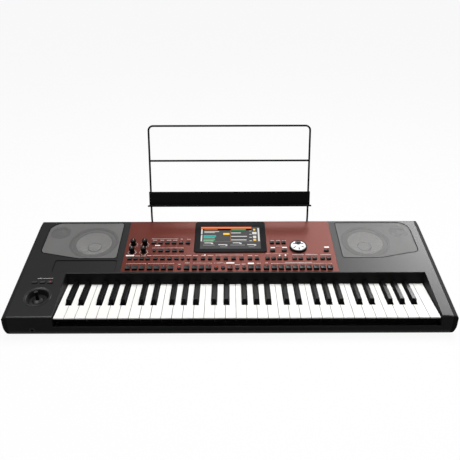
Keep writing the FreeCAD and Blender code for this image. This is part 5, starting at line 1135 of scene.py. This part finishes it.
class KEYBOARD_OT_speakers(bpy.types.Operator):
    """Perforated speaker grilles and the speakers behind them"""
    bl_idname = "keyboard.speakers"
    bl_label = "Speakers"

    def execute(self, context):
        for side in ("left", "right"):
            self.grille(side)
        self.woofers()
        for name in ("woofer_frames", "tweeters"):
            recoat(name, name + "_smooth", "basket_black", "root", "basket_black", angle=60)
        return {"FINISHED"}

    def outline(self, side):
        """The CAD sheet's top face, split into a dark line round it, which is a painted shadow line, a plain
        rim and the face inside them.
        """
        setting = settings("grilles")
        piece = cad_copy("speaker_grilles")
        piece.data.transform(TOP_INVERSE)
        edit(piece)
        cut_away(piece, lambda face: not faces_up(face, TOP_FACE)
                 or (face.calc_center_median().x < 0) != (side == "left"))
        bpy.ops.mesh.select_all(action="SELECT")
        bpy.ops.mesh.dissolve_limited(angle_limit=math.radians(2 * FLAT))
        rings = []
        for width in (setting.shadow_line, setting.rim):
            bpy.ops.mesh.select_all(action="SELECT")
            inset((width, 0))
            bpy.ops.mesh.select_all(action="INVERT")
            rings.append(split(piece))
        close()
        return (*rings, piece)

    def grille(self, side):
        setting = settings("grilles")
        shadow_line, rim, lining = self.outline(side)
        corners = [lining.data.vertices[index].co.xy for index in lining.data.polygons[0].vertices]
        for ring, top in ((shadow_line, -setting.sheet), (rim, 0)):
            modify(ring, "SOLIDIFY", thickness=setting.sheet, offset=-1)
            ring.data.transform(at(0, 0, top))
        least_turn = math.radians(50)
        modify(rim, "BEVEL", width=setting.rim_edge, segments=2, limit_method="ANGLE", angle_limit=least_turn)
        self.cut_cloth(lining, side)
        # The sunk ring round the sheet is dark as a painted shadow line
        lay(shadow_line, side + "_grille_seat", "seat_black", "root", "grille_grey")
        lay(rim, side + "_grille_rim", "grille_grey", "root", "grille_grey")
        lay(lining, side + "_grille_lining", "lining_grey", "root", "grille_grey")
        lay(self.perforated(corners), side + "_grille_mesh", "grille_grey", "root", "grille_grey",
            "speaker_grilles")

    def cut_cloth(self, lining, side):
        """The pale cloth on the deck under a grille, cut out over the woofer and the tweeter."""
        setting = settings("grilles")
        depth = 1.5 * setting.sheet
        modify(lining, "SOLIDIFY", thickness=setting.cloth, offset=-1)
        lining.data.transform(at(0, 0, -depth))
        for name, least in (("woofer_frames", 0), ("tweeters", setting.tweeter)):
            boxes = [local_box(points) for points in islands(name) if (points[0].x < 0) == (side == "left")]
            low, high = max(boxes, key=lambda box: box[1].x - box[0].x)
            middle, radius = (low + high) / 2, max(least, (high.x - low.x) / 2)
            cutter = disc(radius, -radius, radius, HOLE_SIDES)
            close()
            cutter.data.transform(at(middle.x, middle.y))
            modify(lining, "BOOLEAN", object=cutter, operation="DIFFERENCE", solver="EXACT")
            bpy.data.objects.remove(cutter)

    def perforated(self, corners):
        """A sheet of six-sided holes in staggered rows, inside a row of corners."""
        setting = settings("grilles")
        pitch, row = setting.pitch, setting.pitch * math.sqrt(3) / 2
        low, high = local_box([corner.to_3d() for corner in corners])
        clear_selection()
        bpy.ops.mesh.primitive_circle_add(vertices=6, radius=pitch / math.sqrt(3), fill_type="NGON",
                                          location=low)
        piece = apply_place()
        bpy.ops.mesh.select_all(action="SELECT")
        bpy.ops.mesh.duplicate_move(TRANSFORM_OT_translate={"value": (pitch / 2, row, 0)})
        close()
        for count, offset in ((math.ceil((high.x - low.x) / pitch) + 1, (pitch, 0, 0)),
                              (math.ceil((high.y - low.y) / (2 * row)) + 1, (0, 2 * row, 0))):
            modify(piece, "ARRAY", count=count, use_relative_offset=False, use_constant_offset=True,
                   constant_offset_displace=offset, use_merge_vertices=True, merge_threshold=MERGE)
        edit(piece)
        bpy.ops.mesh.select_all(action="SELECT")
        bpy.ops.mesh.remove_doubles(threshold=MERGE)
        cut_away(piece, lambda face: not is_inside(face.calc_center_median().xy, corners))
        bpy.ops.mesh.select_all(action="SELECT")
        bpy.ops.mesh.inset(thickness=setting.web, use_individual=True)
        bpy.ops.mesh.delete(type="FACE")
        close()
        modify(piece, "SOLIDIFY", thickness=setting.sheet, offset=-1)
        piece.data.transform(at(0, 0, -FILM))
        return piece

    def woofers(self):
        """Surround, cone and dust cap of the woofers, drawn ring by ring from a disc."""
        boxes = [local_box(points) for points in islands("woofer_cones")]
        low, high = boxes[0]
        radius, drop = (high.x - low.x) / 2, 0.0005
        piece = disc(radius, high.z - 2 * drop, high.z - drop, LARGE_SIDES)
        cut_away(piece, lambda face: not faces_up(face))
        bpy.ops.mesh.select_all(action="SELECT")
        bounds = [radius]
        for width, rise in WOOFER_RINGS:
            inset((width * MM, rise * MM))
            bounds.append(bounds[-1] - width * MM)
        close()
        modify(piece, "SOLIDIFY", thickness=settings("grilles").paper, offset=-1)
        smooth(piece, angle=50)
        bands = {}
        for name, (outer, inner) in WOOFER_BANDS.items():
            edit(piece)
            pick(piece, "FACE",
                 lambda face: bounds[inner] < face.calc_center_median().xy.length < bounds[outer] + MM)
            bands[name] = split(piece)
            close()
        middles = [(low + high) / 2 for low, high in boxes]
        places = [at(middle.x, middle.y) for middle in middles]
        own_copies(piece, places, "woofer_paper", "cone_grey", "root", "cone_grey", "woofer_cones")
        for name, band in bands.items():
            # The groove round the dust cap takes the dark grey as painted shade
            own_copies(band, places, "woofer_" + name, "surround_grey", "root", "cone_grey")


class KEYBOARD_OT_keys(bpy.types.Operator):
    """White and black keys with rounded edges, and their springs"""
    bl_idname = "keyboard.keys"
    bl_label = "Keys"

    def execute(self, context):
        edge = settings("keys").edge
        for name in WHITE_KEYS:
            own(self.white_set(name, edge), name + "_white", "key_white", name, "key_white", name)
        for name in BLACK_KEYS:
            recoat(name, name + "_black", "key_black", name, "key_black", edge)
        self.springs()
        return {"FINISHED"}

    def white_set(self, name, edge):
        """White keys with each lever drawn up to its head, so that the top runs on without a seam."""
        front = min(vertex.co.y for vertex in NODES[name].data.vertices)
        heads = [points for points in world_islands(name) if min(point.y for point in points) < front + edge]
        seam = max(point.y for points in heads for point in points)
        piece = cad_copy(name)
        edit(piece)
        bpy.ops.mesh.select_all(action="SELECT")
        bpy.ops.mesh.dissolve_limited(angle_limit=math.radians(FLAT))
        pick(piece, "VERT", lambda corner: seam + SAME < corner.co.y < seam + FILM)
        mesh = bmesh.from_edit_mesh(piece.data)
        lever = next(corner.co.y for corner in mesh.verts if corner.select)
        bpy.ops.transform.translate(value=(0, seam - lever, 0))
        pick(piece, "EDGE", lambda side: len(side.link_faces) == 2
             and side.calc_face_angle() > math.radians(SHARP)
             and any(abs(corner.co.y - seam) > MERGE for corner in side.verts))
        bpy.ops.mesh.bevel(offset=edge, segments=2, affect="EDGES", clamp_overlap=True)
        close()
        smooth(piece)
        modify(piece, "WEIGHTED_NORMAL", keep_sharp=True)
        return piece

    def springs(self):
        """Return springs, one piece for each set of keys that dips together."""
        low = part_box("key_springs")[0]
        levers = []
        for name in WHITE_KEYS + BLACK_KEYS:
            for points in world_islands(name):
                rear = [point.x for point in points if point.y > low.y]
                if rear:
                    levers.append(((min(rear) + max(rear)) / 2, name))

        def nearest(face):
            return min(levers, key=lambda lever: abs(lever[0] - face.calc_center_median().x))[1]

        for name in WHITE_KEYS + BLACK_KEYS:
            piece = cad_copy("key_springs")
            edit(piece)
            cut_away(piece, lambda face: nearest(face) != name)
            close()
            own(piece, name + "_springs", "steel", "root", "steel", "key_springs")
            settings("keys").spring
            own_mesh(piece)


class KEYBOARD_OT_rest(bpy.types.Operator):
    """Wire music rest with its plate"""
    bl_idname = "keyboard.rest"
    bl_label = "Music Rest"

    def execute(self, context):
        for name, edge in (("rest_frame", 0), ("rest_crossbar", 0), ("rest_plate", THIN_EDGE)):
            recoat(name, name + "_coated", "rest_black", "music_rest", "rest_black", edge, angle=50)
        recoat("rest_sockets", "rest_bushes", "socket_black", "root", "socket_black", angle=50)
        return {"FINISHED"}


class KEYBOARD_OT_sockets(bpy.types.Operator):
    """Rear sockets, the headphone jack and the power button"""
    bl_idname = "keyboard.sockets"
    bl_label = "Sockets"

    def execute(self, context):
        for name in ("jack_sockets", "data_sockets", "mains_inlet"):
            recoat(name, name + "_moulded", "socket_black", "root", "socket_black", angle=50)
        recoat("power_button", "power_cap", "knob_black", "power_button", "knob_black", THIN_EDGE)
        return {"FINISHED"}


class KEYBOARD_OT_inside(bpy.types.Operator):
    """Finishes of the pieces inside the case"""
    bl_idname = "keyboard.inside"
    bl_label = "Inside"

    def execute(self, context):
        inside = {
            "frame_grey": ["key_frame", "rotary_controls"],
            "steel": ["key_pivot_rod"],
            # Dark felt: partly painted shade in the recess under the keys
            "felt_grey": ["key_felts"],
            "rubber_black": ["key_contact_strip"],
            "board_green": ["panel_board", "key_contact_board", "main_board", "power_supply"],
        }
        for look, names in inside.items():
            for name in names:
                dress(name, look)
        return {"FINISHED"}


def seen(tree):
    """One where the camera, a reflection or a clear piece looks at the backdrop, and zero for soft light."""
    path = node(tree, "LightPath").outputs
    mirrored = maths(tree, "MAXIMUM", path["Is Camera Ray"], path["Is Glossy Ray"])
    return maths(tree, "MAXIMUM", mirrored, path["Is Transmission Ray"])


def blend(tree, share, soft, bright, output):
    """Mixes two shaders by a share and puts the mix out."""
    mix = node(tree, "MixShader")
    fill(tree, mix, {0: share, 1: soft.outputs[0], 2: bright.outputs[0]})
    node(tree, output, Surface=mix.outputs[0])


class KEYBOARD_OT_stage(bpy.types.Operator):
    """Floor, soft light and the camera"""
    bl_idname = "keyboard.stage"
    bl_label = "Stage"

    def execute(self, context):
        self.floor()
        self.sky()
        for name, (place, size, power, lights_all) in LAMPS.items():
            self.lamp(name, place, size, getattr(settings("stage"), power)).visible_diffuse = lights_all
        self.camera()
        bpy.context.scene.view_settings.view_transform = "Standard"
        return {"FINISHED"}

    def floor(self):
        size, glow, glow_share = 30, 1.1, 0.85
        clear_selection()
        bpy.ops.mesh.primitive_plane_add(size=size, location=(0, 0, -FILM))
        floor = bpy.context.active_object
        floor.name = "floor"
        material = bpy.data.materials.new("pale_floor")
        material.use_nodes = True
        tree = material.node_tree
        tree.nodes.clear()
        cloth = node(tree, "BsdfDiffuse", Color=(*settings("stage").floor, 1))
        light = node(tree, "Emission", Strength=glow)
        blend(tree, maths(tree, "MULTIPLY", seen(tree), glow_share), cloth, light, "OutputMaterial")
        floor.data.materials.append(material)

    def sky(self):
        world = bpy.data.worlds.new("studio")
        bpy.context.scene.world = world
        world.use_nodes = True
        tree = world.node_tree
        tree.nodes.clear()
        soft, white = (node(tree, "Background", Color=(1, 1, 1, 1), Strength=strength)
                       for strength in (settings("stage").sky, 1.0))
        blend(tree, seen(tree), soft, white, "OutputWorld")

    def lamp(self, name, place, size, power):
        light = bpy.data.lights.new(name, "AREA")
        light.energy = power
        light.size = size
        lamp = bpy.data.objects.new(name, light)
        bpy.context.collection.objects.link(lamp)
        lamp.location = place
        lamp.rotation_euler = (LAMP_TARGET - lamp.location).to_track_quat("-Z", "Y").to_euler()
        return lamp

    def camera(self):
        stage = settings("stage")
        data = bpy.data.cameras.new("photo_camera")
        data.sensor_width = 36.0
        data.lens = stage.lens
        camera = bpy.data.objects.new("photo_camera", data)
        bpy.context.collection.objects.link(camera)
        camera.location = stage.camera
        tilt = Matrix.Rotation(math.pi / 2 - stage.tilt, 4, "X")
        roll = Matrix.Rotation(stage.roll, 4, "Z")
        camera.rotation_euler = (tilt @ roll).to_euler()
        bpy.context.scene.camera = camera


OPERATORS = (KEYBOARD_OT_finishes, KEYBOARD_OT_case, KEYBOARD_OT_panel, KEYBOARD_OT_buttons,
             KEYBOARD_OT_display, KEYBOARD_OT_controls, KEYBOARD_OT_speakers, KEYBOARD_OT_keys,
             KEYBOARD_OT_rest, KEYBOARD_OT_sockets, KEYBOARD_OT_inside, KEYBOARD_OT_stage)
SETTINGS = {"case": CaseSettings, "panel": PanelSettings, "buttons": ButtonSettings,
            "display": DisplaySettings, "keys": KeySettings, "grilles": GrilleSettings,
            "controls": ControlSettings, "stage": StageSettings}


class KEYBOARD_PT_sidebar(bpy.types.Panel):
    """The keyboard's pieces and settings"""
    bl_idname = "KEYBOARD_PT_sidebar"
    bl_label = "Keyboard"
    bl_space_type = "VIEW_3D"
    bl_region_type = "UI"
    bl_category = "Keyboard"

    def draw(self, context):
        for kind in OPERATORS:
            self.layout.operator(kind.bl_idname)
        for name, group in SETTINGS.items():
            box = self.layout.box()
            for label in group.__annotations__:
                box.prop(settings(name), label)


def register():
    for name, group in SETTINGS.items():
        bpy.utils.register_class(group)
        setattr(bpy.types.Scene, "keyboard_" + name, PointerProperty(type=group))
    for kind in OPERATORS + (KEYBOARD_PT_sidebar,):
        bpy.utils.register_class(kind)


def unregister():
    for kind in (KEYBOARD_PT_sidebar,) + OPERATORS[::-1]:
        bpy.utils.unregister_class(kind)
    for name, group in SETTINGS.items():
        delattr(bpy.types.Scene, "keyboard_" + name)
        bpy.utils.unregister_class(group)


def main():
    register()
    for kind in OPERATORS:
        area, name = kind.bl_idname.split(".")
        getattr(getattr(bpy.ops, area), name)()
    clear_selection()


if __name__ == "__main__":
    main()
